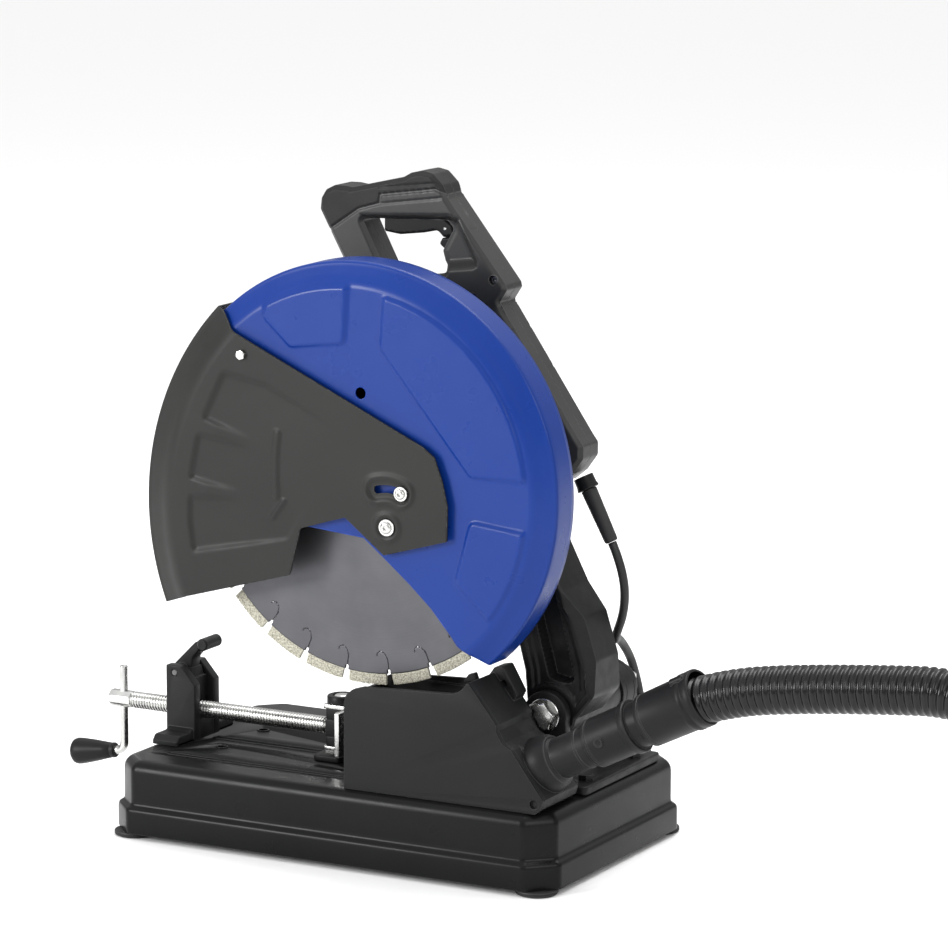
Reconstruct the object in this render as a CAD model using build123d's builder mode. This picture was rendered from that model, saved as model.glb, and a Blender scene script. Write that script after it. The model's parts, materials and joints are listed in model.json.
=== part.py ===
from build123d import *
from math import atan2, cos, degrees, hypot, pi, radians, sin, tan
import os

# Dry-cutting chop saw with a screw vise, a dust box and a vacuum hose.
# Millimetres. +X runs along the base from the vise crank to the rear pivot, +Y runs from the
# guard side to the motor side, +Z is up. The origin is the centre of the base on the floor.

os.makedirs("parts", exist_ok=True)

# base pan
BASE_LENGTH = 444
BASE_WIDTH = 272
DECK = 72
SKIRT_BOTTOM = 5
FOOT_RADIUS = 19
BENCH_HOLE_RADIUS = 3.5
# cutting head
PIVOT = (174, 140)
SPINDLE = (23, 336)
BLADE_Y = -94
BLADE_RADIUS = 175
GEAR_TEETH = 56
PINION_TEETH = 12
MODULE = 1.5
GEAR_CENTRES = MODULE * (GEAR_TEETH + PINION_TEETH) / 2
MOTOR_ANGLE = 55.4
MOTOR = (
    SPINDLE[0] + GEAR_CENTRES * cos(radians(MOTOR_ANGLE)),
    SPINDLE[1] + GEAR_CENTRES * sin(radians(MOTOR_ANGLE)),
)
# guards
GUARD_CENTRE = (20, 342)
GUARD_RADIUS = 198
GUARD_FACE = -120
FRONT_GUARD_PIVOT = (60, 311)
FRONT_GUARD_RADIUS = 254
# vise
VISE_Y = -20
SCREW_Z = 97.5
SCREW_RADIUS = 8
# dust outlet
OUTLET = (207, 112)
OUTLET_ANGLE = 27.4
HOSE_RADIUS = 21
CORD_RADIUS = 4


def prism(points, y_low, y_high):
    """A polygon given as (x, z) points, extruded between two y levels."""
    with BuildPart() as body:
        with BuildSketch(Plane.XZ.offset(-y_high)):
            with BuildLine():
                Polyline(*points, close=True)
            make_face()
        extrude(amount=y_high - y_low)
    return body.part


def rod_y(centre, radius, y_low, y_high):
    """A cylinder along Y round an (x, z) centre."""
    with BuildPart() as body:
        with Locations(Location((centre[0], (y_low + y_high) / 2, centre[1]), (90, 0, 0))):
            Cylinder(radius, y_high - y_low)
    return body.part


def rod_x(y, z, radius, x_low, x_high):
    """A cylinder along X."""
    with BuildPart() as body:
        with Locations(Location(((x_low + x_high) / 2, y, z), (0, 90, 0))):
            Cylinder(radius, x_high - x_low)
    return body.part


def rod_z(x, y, radius, z_low, z_high):
    """A cylinder along Z."""
    with BuildPart() as body:
        with Locations((x, y, (z_low + z_high) / 2)):
            Cylinder(radius, z_high - z_low)
    return body.part


def block(x_low, x_high, y_low, y_high, z_low, z_high):
    """A box given by its two corners."""
    with BuildPart() as body:
        with Locations(((x_low + x_high) / 2, (y_low + y_high) / 2, (z_low + z_high) / 2)):
            Box(x_high - x_low, y_high - y_low, z_high - z_low)
    return body.part


def hex_y(centre, across_flats, y_low, y_high):
    """A hexagon head or nut along Y."""
    with BuildPart() as body:
        with BuildSketch(Plane.XZ.offset(-y_high)):
            with Locations(centre):
                RegularPolygon(across_flats / 2, 6, major_radius=False)
        extrude(amount=y_high - y_low)
    return body.part


def hex_z(x, y, across_flats, z_low, z_high):
    """A hexagon head or nut along Z."""
    with BuildPart() as body:
        with BuildSketch(Plane.XY.offset(z_low)):
            with Locations((x, y)):
                RegularPolygon(across_flats / 2, 6, major_radius=False)
        extrude(amount=z_high - z_low)
    return body.part


def polar(centre, radius, angle):
    """The (x, z) point at a radius and an angle in degrees from +X towards +Z."""
    return (centre[0] + radius * cos(radians(angle)), centre[1] + radius * sin(radians(angle)))


def arc_points(centre, radius, start, stop, steps):
    """Points along an arc in the X-Z plane."""
    return [polar(centre, radius, start + (stop - start) * n / steps) for n in range(steps + 1)]


def drum(centre, radius, face_radius, face, shoulder, back):
    """A round drum along Y with a bevelled edge between its face and its rim."""
    with BuildPart() as body:
        with BuildSketch(Plane.XZ.offset(-shoulder)):
            with Locations(centre):
                Circle(radius)
        with BuildSketch(Plane.XZ.offset(-face)):
            with Locations(centre):
                Circle(face_radius)
        loft()
        add(rod_y(centre, radius, shoulder, back))
    return body.part


def outlet_rod(radius_start, radius_end, start, stop):
    """A round piece along the dust outlet's axis, between two distances from its foot."""
    direction = (cos(radians(OUTLET_ANGLE)), 0, sin(radians(OUTLET_ANGLE)))
    origin = (
        OUTLET[0] + start * direction[0],
        BLADE_Y,
        OUTLET[1] + start * direction[2],
    )
    plane = Plane(origin=origin, x_dir=(0, 1, 0), z_dir=direction)
    far_plane = plane.offset(stop - start)
    with BuildPart() as body:
        with BuildSketch(plane):
            Circle(radius_start)
        with BuildSketch(far_plane):
            Circle(radius_end)
        loft()
    return body.part


# ---------------------------------------------------------------- base pan and feet

def pan_block(length, width, corner, z_low, z_high, edge):
    """A block with cut corners and rounded top edges."""
    with BuildPart() as body:
        with BuildSketch(Plane.XY.offset(z_low)) as outline:
            Rectangle(length, width)
            chamfer(outline.vertices(), corner)
        extrude(amount=z_high - z_low)
        fillet(body.edges().group_by(Axis.Z)[-1], edge)
    return body.part


FOOT_SPOTS = [(206, 121), (206, -121), (-206, 121), (-206, -121)]
NUT_BLOCK_BOLTS = [(-205, -58), (-205, 18)]
FENCE_BOLTS = [(46, -30), (46, 30)]
BRACKET_BOLTS = [(139, -24), (204, -24), (139, 70), (204, 70)]
DECK_HOLES = [(-156, -50), (-156, 24)]

with BuildPart() as base_pan:
    add(pan_block(BASE_LENGTH + 10, BASE_WIDTH + 10, 25, SKIRT_BOTTOM, 29, 3))
    add(pan_block(BASE_LENGTH, BASE_WIDTH, 22, 20, DECK, 9))
    add(pan_block(BASE_LENGTH + 5, BASE_WIDTH + 5, 24, 8, 26.5, 1), mode=Mode.SUBTRACT)
    add(pan_block(BASE_LENGTH - 5, BASE_WIDTH - 5, 21, 10, 69.5, 7), mode=Mode.SUBTRACT)
    add(block(-188, 188, -102, 102, 0, 12), mode=Mode.SUBTRACT)
    add(block(-192, 104, BLADE_Y - 4, BLADE_Y + 4, 60, 80), mode=Mode.SUBTRACT)
    add(block(-184, 16, VISE_Y - 4, VISE_Y + 4, 60, 80), mode=Mode.SUBTRACT)
    for spot in FOOT_SPOTS:
        add(rod_z(spot[0], spot[1], BENCH_HOLE_RADIUS, 0, 12), mode=Mode.SUBTRACT)
    for spot in NUT_BLOCK_BOLTS + FENCE_BOLTS + BRACKET_BOLTS:
        add(rod_z(spot[0], spot[1], 4.2, 60, 80), mode=Mode.SUBTRACT)
    for spot in DECK_HOLES:
        add(rod_z(spot[0], spot[1], 5, 60, 80), mode=Mode.SUBTRACT)
base_pan.part.label = "base_pan"
export_step(base_pan.part, "parts/base_pan.step")

with BuildPart() as rubber_feet:
    for spot in FOOT_SPOTS:
        add(rod_z(spot[0], spot[1], FOOT_RADIUS, 0, SKIRT_BOTTOM))
        add(rod_z(spot[0], spot[1], BENCH_HOLE_RADIUS, -1, 6), mode=Mode.SUBTRACT)
rubber_feet.part.label = "rubber_feet"
export_step(rubber_feet.part, "parts/rubber_feet.step")

# ---------------------------------------------------------------- bolts through the deck

def deck_bolt(spot, seat):
    """A hexagon bolt down through the deck with its nut underneath."""
    with BuildPart() as body:
        add(hex_z(spot[0], spot[1], 13, seat, seat + 5.5))
        add(rod_z(spot[0], spot[1], 4, 56, seat))
        add(hex_z(spot[0], spot[1], 13, 63, 69.4))
    return body.part


with BuildPart() as deck_bolts:
    for spot in FENCE_BOLTS:
        add(deck_bolt(spot, 76))
    for spot in BRACKET_BOLTS:
        add(deck_bolt(spot, 80))
    for spot in NUT_BLOCK_BOLTS:
        add(hex_z(spot[0], spot[1], 13, 64, 69.4))
        add(rod_z(spot[0], spot[1], 4, 69.4, 77))
deck_bolts.part.label = "deck_bolts"
export_step(deck_bolts.part, "parts/deck_bolts.step")

# ---------------------------------------------------------------- vise

CHEEK = [(-221, DECK), (-221, 141), (-205, 141), (-190, 124), (-190, DECK)]
LEVER_PIVOT = (-212, 134)

with BuildPart() as vise_nut_block:
    add(prism(CHEEK, VISE_Y - 22, VISE_Y - 12))
    add(prism(CHEEK, VISE_Y + 12, VISE_Y + 22))
    add(block(-221, -190, VISE_Y - 12, VISE_Y + 12, DECK, 97))
    with BuildSketch(Plane.YZ.offset(-219)):
        with BuildLine():
            Polyline((VISE_Y - 50, DECK), (VISE_Y - 50, 76), (VISE_Y - 46, 81), (VISE_Y - 20, 81),
                     (VISE_Y - 20, DECK), close=True)
        make_face()
        with BuildLine():
            Polyline((VISE_Y + 50, DECK), (VISE_Y + 50, 76), (VISE_Y + 46, 81), (VISE_Y + 20, 81),
                     (VISE_Y + 20, DECK), close=True)
        make_face()
    extrude(amount=27)
    add(rod_x(VISE_Y, SCREW_Z, SCREW_RADIUS + 0.08, -240, -180), mode=Mode.SUBTRACT)
    add(rod_y(LEVER_PIVOT, 3, -60, 40), mode=Mode.SUBTRACT)
    for spot in NUT_BLOCK_BOLTS:
        add(rod_z(spot[0], spot[1], 4.05, 70, 77.5), mode=Mode.SUBTRACT)
vise_nut_block.part.label = "vise_nut_block"
export_step(vise_nut_block.part, "parts/vise_nut_block.step")

with BuildPart() as lever_pin:
    add(rod_y(LEVER_PIVOT, 3, VISE_Y - 21.5, VISE_Y + 21.5))
lever_pin.part.label = "lever_pin"
export_step(lever_pin.part, "parts/lever_pin.step")

with BuildPart() as nut_release_lever:
    add(prism([(-219, 129), (-224, 137), (-199, 161), (-188, 167), (-194, 153), (-203, 143), (-203, 129)],
              VISE_Y - 8, VISE_Y + 8))
    add(rod_y(LEVER_PIVOT, 7, VISE_Y - 11.6, VISE_Y + 11.6))
    add(prism([(-212, 130), (-203, 136), (-198, 124), (-196, 101), (-212, 101)], VISE_Y - 11.6, VISE_Y + 11.6))
    add(rod_y((-187, 161), 6, VISE_Y - 14, VISE_Y + 14))
    add(rod_y(LEVER_PIVOT, 3.06, -60, 40), mode=Mode.SUBTRACT)
    add(rod_x(VISE_Y, SCREW_Z, SCREW_RADIUS + 0.3, -240, -180), mode=Mode.SUBTRACT)
nut_release_lever.part.label = "nut_release_lever"
export_step(nut_release_lever.part, "parts/nut_release_lever.step")

with BuildPart() as vise_screw:
    add(rod_x(VISE_Y, SCREW_Z, SCREW_RADIUS, -294, -60))
    add(rod_x(VISE_Y, SCREW_Z, 5, -60, -50))
    add(rod_x(VISE_Y, SCREW_Z, 7, -50, -44))
    add(rod_z(-281, VISE_Y, 4, 80, 120), mode=Mode.SUBTRACT)
vise_screw.part.label = "vise_screw"
export_step(vise_screw.part, "parts/vise_screw.step")

KNOB_TILT = 8
KNOB_AXIS = (-cos(radians(KNOB_TILT)), 0, -sin(radians(KNOB_TILT)))

with BuildPart() as crank_rod:
    with BuildLine() as crank_path:
        FilletPolyline(
            (-281, VISE_Y, 129),
            (-281, VISE_Y, 48),
            (-281 + 48 * KNOB_AXIS[0], VISE_Y, 48 + 48 * KNOB_AXIS[2]),
            radius=7,
        )
    with BuildSketch(Plane(origin=(-281, VISE_Y, 129), z_dir=(0, 0, -1))):
        Circle(4)
    sweep()
crank_rod.part.label = "crank_rod"
export_step(crank_rod.part, "parts/crank_rod.step")

knob_plane = Plane(
    origin=(-281 + 10 * KNOB_AXIS[0], VISE_Y, 48 + 10 * KNOB_AXIS[2]),
    x_dir=(0, 1, 0),
    z_dir=KNOB_AXIS,
)
with BuildPart() as crank_knob:
    with Locations(knob_plane):
        Cone(6.5, 12.5, 38, align=(Align.CENTER, Align.CENTER, Align.MIN))
    with Locations(knob_plane.offset(38)):
        Cylinder(12.5, 8, align=(Align.CENTER, Align.CENTER, Align.MIN))
    with Locations(knob_plane.offset(-1)):
        Cylinder(4.06, 40, align=(Align.CENTER, Align.CENTER, Align.MIN), mode=Mode.SUBTRACT)
crank_knob.part.label = "crank_knob"
export_step(crank_knob.part, "parts/crank_knob.step")

with BuildPart() as vise_jaw:
    add(block(-33, -28, VISE_Y - 38, VISE_Y + 38, 78, 120))
    add(block(-60, -32, VISE_Y - 12, VISE_Y + 12, 116, 120))
    add(block(-60, -32, VISE_Y - 12, VISE_Y + 12, 78, 81))
    add(rod_z(-46, VISE_Y, 4, 110, 125), mode=Mode.SUBTRACT)
vise_jaw.part.label = "vise_jaw"
export_step(vise_jaw.part, "parts/vise_jaw.step")

with BuildPart() as jaw_swivel_block:
    add(block(-58, -33.2, VISE_Y - 11, VISE_Y + 11, 81, 116))
    add(rod_x(VISE_Y, SCREW_Z, 5.08, -60, -50), mode=Mode.SUBTRACT)
    add(rod_x(VISE_Y, SCREW_Z, 7.1, -50.1, -43.9), mode=Mode.SUBTRACT)
    add(rod_z(-46, VISE_Y, 4, 107, 117), mode=Mode.SUBTRACT)
jaw_swivel_block.part.label = "jaw_swivel_block"
export_step(jaw_swivel_block.part, "parts/jaw_swivel_block.step")

with BuildPart() as jaw_lock_disc:
    add(rod_z(-46, VISE_Y, 14, 120, 128))
    add(rod_z(-46, VISE_Y, 4, 119, 129), mode=Mode.SUBTRACT)
    add(rod_z(-46, VISE_Y, 8, 125.5, 129), mode=Mode.SUBTRACT)
jaw_lock_disc.part.label = "jaw_lock_disc"
export_step(jaw_lock_disc.part, "parts/jaw_lock_disc.step")

with BuildPart() as jaw_swivel_bolt:
    add(rod_z(-46, VISE_Y, 7.5, 125.5, 128.5))
    add(rod_z(-46, VISE_Y, 4, 107, 126))
jaw_swivel_bolt.part.label = "jaw_swivel_bolt"
export_step(jaw_swivel_bolt.part, "parts/jaw_swivel_bolt.step")

with BuildPart() as jaw_glide:
    add(block(-58, -30, VISE_Y - 34, VISE_Y + 34, 72.4, 78))
    add(block(-56, -32, VISE_Y - 3.6, VISE_Y + 3.6, 66, 72.4))
jaw_glide.part.label = "jaw_glide"
export_step(jaw_glide.part, "parts/jaw_glide.step")

with BuildPart() as fence:
    add(block(20, 25, -57, 57, DECK, 120))
    add(block(20, 64, -57, 57, DECK, 76))
    for spot in FENCE_BOLTS:
        add(rod_z(spot[0], spot[1], 4.2, 70, 80), mode=Mode.SUBTRACT)
fence.part.label = "fence"
export_step(fence.part, "parts/fence.step")

# ---------------------------------------------------------------- dust box and outlet

BOX_OUTLINE = [
    (17, DECK), (17, 149), (19, 157), (26, 163), (36, 166), (126, 170), (134, 174), (141, 182),
    (169, 147), (169, 141), (175, 131), (184, 126), (215, 85), (213, 77), (207, DECK),
]
BOX_HOLLOW = [(21, 70), (21, 190), (132, 190), (137, 176), (164, 144), (165, 139), (172, 127), (180, 122),
              (198, 98), (198, 70)]

with BuildPart() as dust_box_plate:
    add(prism(BOX_OUTLINE, -128, -125))
    add(rod_y((206, 81), 4, -130, -120), mode=Mode.SUBTRACT)
dust_box_plate.part.label = "dust_box_plate"
export_step(dust_box_plate.part, "parts/dust_box_plate.step")

with BuildPart() as dust_box:
    add(prism(BOX_OUTLINE, -125, -60))
    add(outlet_rod(22, 22, -14, 9))
    add(outlet_rod(18.5, 18.5, -14, 58))
    add(prism([(131, 172), (141, 186), (150, 188), (164, 164), (156, 150)], -78, -60))
    add(prism(BOX_HOLLOW, -122.5, -64), mode=Mode.SUBTRACT)
    add(outlet_rod(15.5, 15.5, -30, 60), mode=Mode.SUBTRACT)
    add(block(10, 24, BLADE_Y - 7, BLADE_Y + 7, 60, 170), mode=Mode.SUBTRACT)
    add(rod_y((206, 81), 4, -130, -110), mode=Mode.SUBTRACT)
    add(rod_y((150, 174), 3.5, -90, -66), mode=Mode.SUBTRACT)
dust_box.part.label = "dust_box"
export_step(dust_box.part, "parts/dust_box.step")

with BuildPart() as hose_adapter:
    add(outlet_rod(22, 22.3, 46, 87))
    add(outlet_rod(24.3, 24.3, 86, 92))
    add(outlet_rod(20.5, 20.5, 90, 118))
    with Locations(Location((OUTLET[0] + 62 * cos(radians(OUTLET_ANGLE)), BLADE_Y - 22,
                             OUTLET[1] + 62 * sin(radians(OUTLET_ANGLE))), (90, 0, 0))):
        Cylinder(4.5, 3)
    add(outlet_rod(18.6, 18.6, 40, 62), mode=Mode.SUBTRACT)
    add(outlet_rod(17, 17, 60, 130), mode=Mode.SUBTRACT)
hose_adapter.part.label = "hose_adapter"
export_step(hose_adapter.part, "parts/hose_adapter.step")

with BuildPart() as hose_cuff:
    add(outlet_rod(23.4, 24.4, 103, 150))
    add(outlet_rod(25.8, 25.8, 148, 162))
    add(outlet_rod(20.6, 20.6, 100, 119), mode=Mode.SUBTRACT)
    add(outlet_rod(21.4, 21.4, 118, 146), mode=Mode.SUBTRACT)
    add(outlet_rod(23, 23.4, 145, 170), mode=Mode.SUBTRACT)
hose_cuff.part.label = "hose_cuff"
export_step(hose_cuff.part, "parts/hose_cuff.step")


def route_radii(points):
    """The bend radius at each inner point: 0.45 of the shorter run over the tangent of half the turn."""
    radii = []
    for before, here, after in zip(points, points[1:], points[2:]):
        first = Vector(*here) - Vector(*before)
        second = Vector(*after) - Vector(*here)
        turn = radians(first.get_angle(second))
        radii.append(0.45 * min(first.length, second.length) / tan(turn / 2))
    return radii


def outlet_point(distance):
    """A point on the dust outlet's axis."""
    return (
        OUTLET[0] + distance * cos(radians(OUTLET_ANGLE)),
        BLADE_Y,
        OUTLET[1] + distance * sin(radians(OUTLET_ANGLE)),
    )


HOSE_ROUTE = [
    outlet_point(120),
    outlet_point(170),
    (456, BLADE_Y, 206.3),
    (640, BLADE_Y, 222),
    (812, BLADE_Y, 21.6),
    (990, 40, 21.6),
    (900, 330, 21.6),
    (640, 330, 21.6),
    (552.5, 220.7, 24.2),
]


def check_tube(name, tube, line, area):
    """Prints the tube's volume against its section times its length."""
    print(name, "length", round(line.length, 1), "volume ratio", round(tube.volume / (area * line.length), 4))


hose_radii = route_radii(HOSE_ROUTE)
print("hose radii", [round(value, 1) for value in hose_radii])
with BuildPart() as hose:
    with BuildLine() as hose_line:
        hose_path = FilletPolyline(*HOSE_ROUTE, radius=hose_radii)
    with BuildSketch(Plane(origin=hose_path @ 0, z_dir=hose_path % 0)):
        Circle(HOSE_RADIUS)
        Circle(HOSE_RADIUS - 3, mode=Mode.SUBTRACT)
    sweep()
check_tube("hose", hose.part, hose_path, pi * (HOSE_RADIUS**2 - (HOSE_RADIUS - 3) ** 2))
hose.part.label = "hose"
export_step(hose.part, "parts/hose.step")

end_step = Vector(*HOSE_ROUTE[-1]) - Vector(*HOSE_ROUTE[-2])
end_plane = Plane(origin=HOSE_ROUTE[-1], x_dir=(0, 0, 1), z_dir=end_step.normalized())
with BuildPart() as hose_end_cuff:
    with BuildSketch(end_plane.offset(-26)):
        Circle(23.4)
    with BuildSketch(end_plane.offset(0)):
        Circle(23.4)
    with BuildSketch(end_plane.offset(52)):
        Circle(19)
    loft(ruled=True)
    with Locations(end_plane.offset(-27)):
        Cylinder(21.05, 27, align=(Align.CENTER, Align.CENTER, Align.MIN), mode=Mode.SUBTRACT)
    with Locations(end_plane.offset(-1)):
        Cylinder(16, 60, align=(Align.CENTER, Align.CENTER, Align.MIN), mode=Mode.SUBTRACT)
hose_end_cuff.part.label = "hose_end_cuff"
export_step(hose_end_cuff.part, "parts/hose_end_cuff.step")

# ---------------------------------------------------------------- rear pivot

EAR_FRONT = (-46, -36)
EAR_REAR = (86, 97)


def ear(y_low, y_high):
    """One upright ear of the pivot bracket with a round top."""
    with BuildPart() as body:
        add(prism([(150, 78), (198, 78), (195, PIVOT[1]), (153, PIVOT[1])], y_low, y_high))
        add(rod_y(PIVOT, 21, y_low, y_high))
    return body.part


with BuildPart() as pivot_bracket:
    add(block(128, 217, -50, 101, DECK, 80))
    add(ear(*EAR_FRONT))
    add(ear(*EAR_REAR))
    add(rod_y(PIVOT, 8.06, -60, 110), mode=Mode.SUBTRACT)
    for spot in BRACKET_BOLTS:
        add(rod_z(spot[0], spot[1], 4.2, 70, 90), mode=Mode.SUBTRACT)
pivot_bracket.part.label = "pivot_bracket"
export_step(pivot_bracket.part, "parts/pivot_bracket.step")

with BuildPart() as pivot_bolt:
    add(hex_y(PIVOT, 24, -58.5, -48.5))
    add(rod_y(PIVOT, 8, -48.5, 116))
pivot_bolt.part.label = "pivot_bolt"
export_step(pivot_bolt.part, "parts/pivot_bolt.step")

with BuildPart() as pivot_nut_and_washers:
    add(rod_y(PIVOT, 15, -48.5, -46))
    add(rod_y(PIVOT, 18, 97, 99.5))
    add(hex_y(PIVOT, 24, 99.6, 112))
    add(rod_y(PIVOT, 8, -60, 120), mode=Mode.SUBTRACT)
pivot_nut_and_washers.part.label = "pivot_nut_and_washers"
export_step(pivot_nut_and_washers.part, "parts/pivot_nut_and_washers.step")

with BuildPart() as spring_cover:
    add(rod_y(PIVOT, 26.5, 57, 85.9))
    add(rod_y(PIVOT, 23.5, 56, 83.5), mode=Mode.SUBTRACT)
    add(rod_y(PIVOT, 8.3, 50, 90), mode=Mode.SUBTRACT)
spring_cover.part.label = "spring_cover"
export_step(spring_cover.part, "parts/spring_cover.step")

spring_place = Location((PIVOT[0], 81, PIVOT[1]), (90, 0, 0))
with BuildPart() as spring_coil:
    with BuildLine() as spring_line:
        Helix(pitch=5.2, height=20.8, radius=15.5)
    with BuildSketch(Plane(origin=spring_line.line @ 0, z_dir=spring_line.line % 0)):
        Circle(2)
    sweep(is_frenet=True)

with BuildPart() as return_spring:
    add(spring_place * spring_coil.part)
return_spring.part.label = "return_spring"
export_step(return_spring.part, "parts/return_spring.step")

# ---------------------------------------------------------------- arm and gear case

GEAR_SIDE = (-61, -30)
ARM_SIDE = (-35.6, 20)
COLLAR_SCREWS = [62, 128, 152, 318]

with BuildPart() as arm:
    add(prism([(192, 128), (216, 158), (214, 188), (202, 226), (184, 250), (166, 285), (158, 318),
               (104, 352), (60, 318), (84, 290), (112, 252), (140, 206), (148, 176), (152, 128)], *ARM_SIDE))
    add(rod_y(PIVOT, 25, ARM_SIDE[0], 56))
    add(rod_y(MOTOR, 60, -29.8, -18))
    add(rod_y(MOTOR, 50.3, -29.9, 60), mode=Mode.SUBTRACT)
    with BuildSketch(Plane.XZ.offset(29.8)):
        with Locations(SPINDLE):
            Circle(50.4)
        with Locations(MOTOR):
            Circle(60.4)
        make_hull()
    extrude(amount=40, mode=Mode.SUBTRACT)
    add(prism([(176, 166), (203, 164), (172, 262), (158, 262)], -36, -24), mode=Mode.SUBTRACT)
    add(rod_y(PIVOT, 8.06, -60, 110), mode=Mode.SUBTRACT)
    for angle in COLLAR_SCREWS:
        add(rod_y(polar(MOTOR, 55.2, angle), 2.6, -40, -10), mode=Mode.SUBTRACT)
        add(rod_y(polar(MOTOR, 55.2, angle), 4.8, -18, 30), mode=Mode.SUBTRACT)
arm.part.label = "arm"
export_step(arm.part, "parts/arm.step")

with BuildPart() as gear_housing:
    with BuildSketch(Plane.XZ.offset(30)):
        with Locations(SPINDLE):
            Circle(50)
        with Locations(MOTOR):
            Circle(60)
        make_hull()
    extrude(amount=31)
    with BuildSketch(Plane.XZ.offset(44)):
        with Locations(SPINDLE):
            Circle(46)
        with Locations(MOTOR):
            Circle(15)
    extrude(amount=20, mode=Mode.SUBTRACT)
    add(rod_y(SPINDLE, 11, -44.1, -34), mode=Mode.SUBTRACT)
    add(rod_y(MOTOR, 13, -44.1, -29), mode=Mode.SUBTRACT)
    for angle in COLLAR_SCREWS:
        add(rod_y(polar(MOTOR, 55.2, angle), 2.5, -44, -29), mode=Mode.SUBTRACT)
gear_housing.part.label = "gear_housing"
export_step(gear_housing.part, "parts/gear_housing.step")

with BuildPart() as gear_cover:
    with BuildSketch(Plane.XZ.offset(61)):
        with Locations(SPINDLE):
            Circle(50)
        with Locations(MOTOR):
            Circle(30)
        make_hull()
    extrude(amount=5)
    add(rod_y(SPINDLE, 27, -76.5, -66))
    add(rod_y(SPINDLE, 16, -74, -60), mode=Mode.SUBTRACT)
    add(rod_y(SPINDLE, 12.5, -80, -73), mode=Mode.SUBTRACT)
    add(rod_y(MOTOR, 9.5, -64, -60), mode=Mode.SUBTRACT)
gear_cover.part.label = "gear_cover"
export_step(gear_cover.part, "parts/gear_cover.step")

with BuildPart() as housing_screws:
    for angle in COLLAR_SCREWS:
        add(rod_y(polar(MOTOR, 55.2, angle), 2.5, -44, -18))
        add(rod_y(polar(MOTOR, 55.2, angle), 4.5, -18, -13))
housing_screws.part.label = "housing_screws"
export_step(housing_screws.part, "parts/housing_screws.step")


def bearing(centre, inner, outer, low, high):
    """One closed ball bearing, as a plain ring."""
    with BuildPart() as body:
        add(rod_y(centre, outer, low, high))
        add(rod_y(centre, inner, low - 1, high + 1), mode=Mode.SUBTRACT)
    return body.part


with BuildPart() as bearings:
    add(bearing(SPINDLE, 10.06, 16, -74, -62))
    add(bearing(SPINDLE, 6.06, 11, -44, -35))
    add(bearing(MOTOR, 5.06, 13, -42, -31))
    add(bearing(MOTOR, 4.06, 9, 92, 100))
bearings.part.label = "bearings"
export_step(bearings.part, "parts/bearings.step")


def toothed_wheel(centre, teeth, y_low, y_high, phase):
    """A spur gear with straight-sided teeth, one tooth centred on the phase angle."""
    pitch_radius = MODULE * teeth / 2
    root = pitch_radius - 1.9
    tip = pitch_radius + 1.2
    outline = []
    for tooth in range(teeth):
        middle = phase + 360 * tooth / teeth
        for radius, half_width in ((root, 1.25), (tip, 0.5), (tip, -0.5), (root, -1.25)):
            outline.append(polar(centre, radius, middle - degrees(half_width / radius)))
    return prism(outline, y_low, y_high)


with BuildPart() as drive_gear:
    add(toothed_wheel(SPINDLE, GEAR_TEETH, -58, -47, MOTOR_ANGLE))
    add(rod_y(SPINDLE, 7.5, -60, -40), mode=Mode.SUBTRACT)
drive_gear.part.label = "drive_gear"
export_step(drive_gear.part, "parts/drive_gear.step")

with BuildPart() as spindle:
    add(rod_y(SPINDLE, 5, -102, -92))
    add(rod_y(SPINDLE, 12.4, -85, -76.6))
    add(rod_y(SPINDLE, 10, -92, -61.5))
    add(rod_y(SPINDLE, 7.5, -61.5, -45))
    add(rod_y(SPINDLE, 6, -45, -35.3))
    add(rod_y(SPINDLE, 4, -110, -90), mode=Mode.SUBTRACT)
spindle.part.label = "spindle"
export_step(spindle.part, "parts/spindle.step")

with BuildPart() as motor_shaft:
    add(toothed_wheel(MOTOR, PINION_TEETH, -60, -45, MOTOR_ANGLE + 180 + 15))
    add(rod_y(MOTOR, 5, -45, -10))
    add(rod_y(MOTOR, 5, -10, 92))
    add(rod_y(MOTOR, 4, 92, 100.5))
motor_shaft.part.label = "motor_shaft"
export_step(motor_shaft.part, "parts/motor_shaft.step")

with BuildPart() as rotor:
    add(rod_y(MOTOR, 24.5, -2, 58))
    add(rod_y(MOTOR, 14, 58, 86))
    add(rod_y(MOTOR, 41, -24, -21))
    for blade in range(12):
        centre = polar(MOTOR, 29, 30 * blade)
        with Locations(Location((centre[0], -15.5, centre[1]), (0, -30 * blade, 0))):
            Box(22, 12, 1.6)
    add(rod_y(MOTOR, 10, -21, -2))
    add(rod_y(MOTOR, 5, -30, 90), mode=Mode.SUBTRACT)
rotor.part.label = "rotor"
export_step(rotor.part, "parts/rotor.step")

with BuildPart() as stator:
    add(rod_y(MOTOR, 45.9, 0, 55))
    add(rod_y(MOTOR, 25.5, -1, 60), mode=Mode.SUBTRACT)
stator.part.label = "stator"
export_step(stator.part, "parts/stator.step")

MOTOR_END = 104
with BuildPart() as motor_housing:
    add(rod_y(MOTOR, 50, -30, MOTOR_END))
    add(rod_y(MOTOR, 46, -27, MOTOR_END + 1), mode=Mode.SUBTRACT)
    add(rod_x(73, MOTOR[1], 8, MOTOR[0] - 60, MOTOR[0] + 60), mode=Mode.SUBTRACT)
    add(rod_y(MOTOR, 6, -40, -20), mode=Mode.SUBTRACT)
motor_housing.part.label = "motor_housing"
export_step(motor_housing.part, "parts/motor_housing.step")

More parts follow.
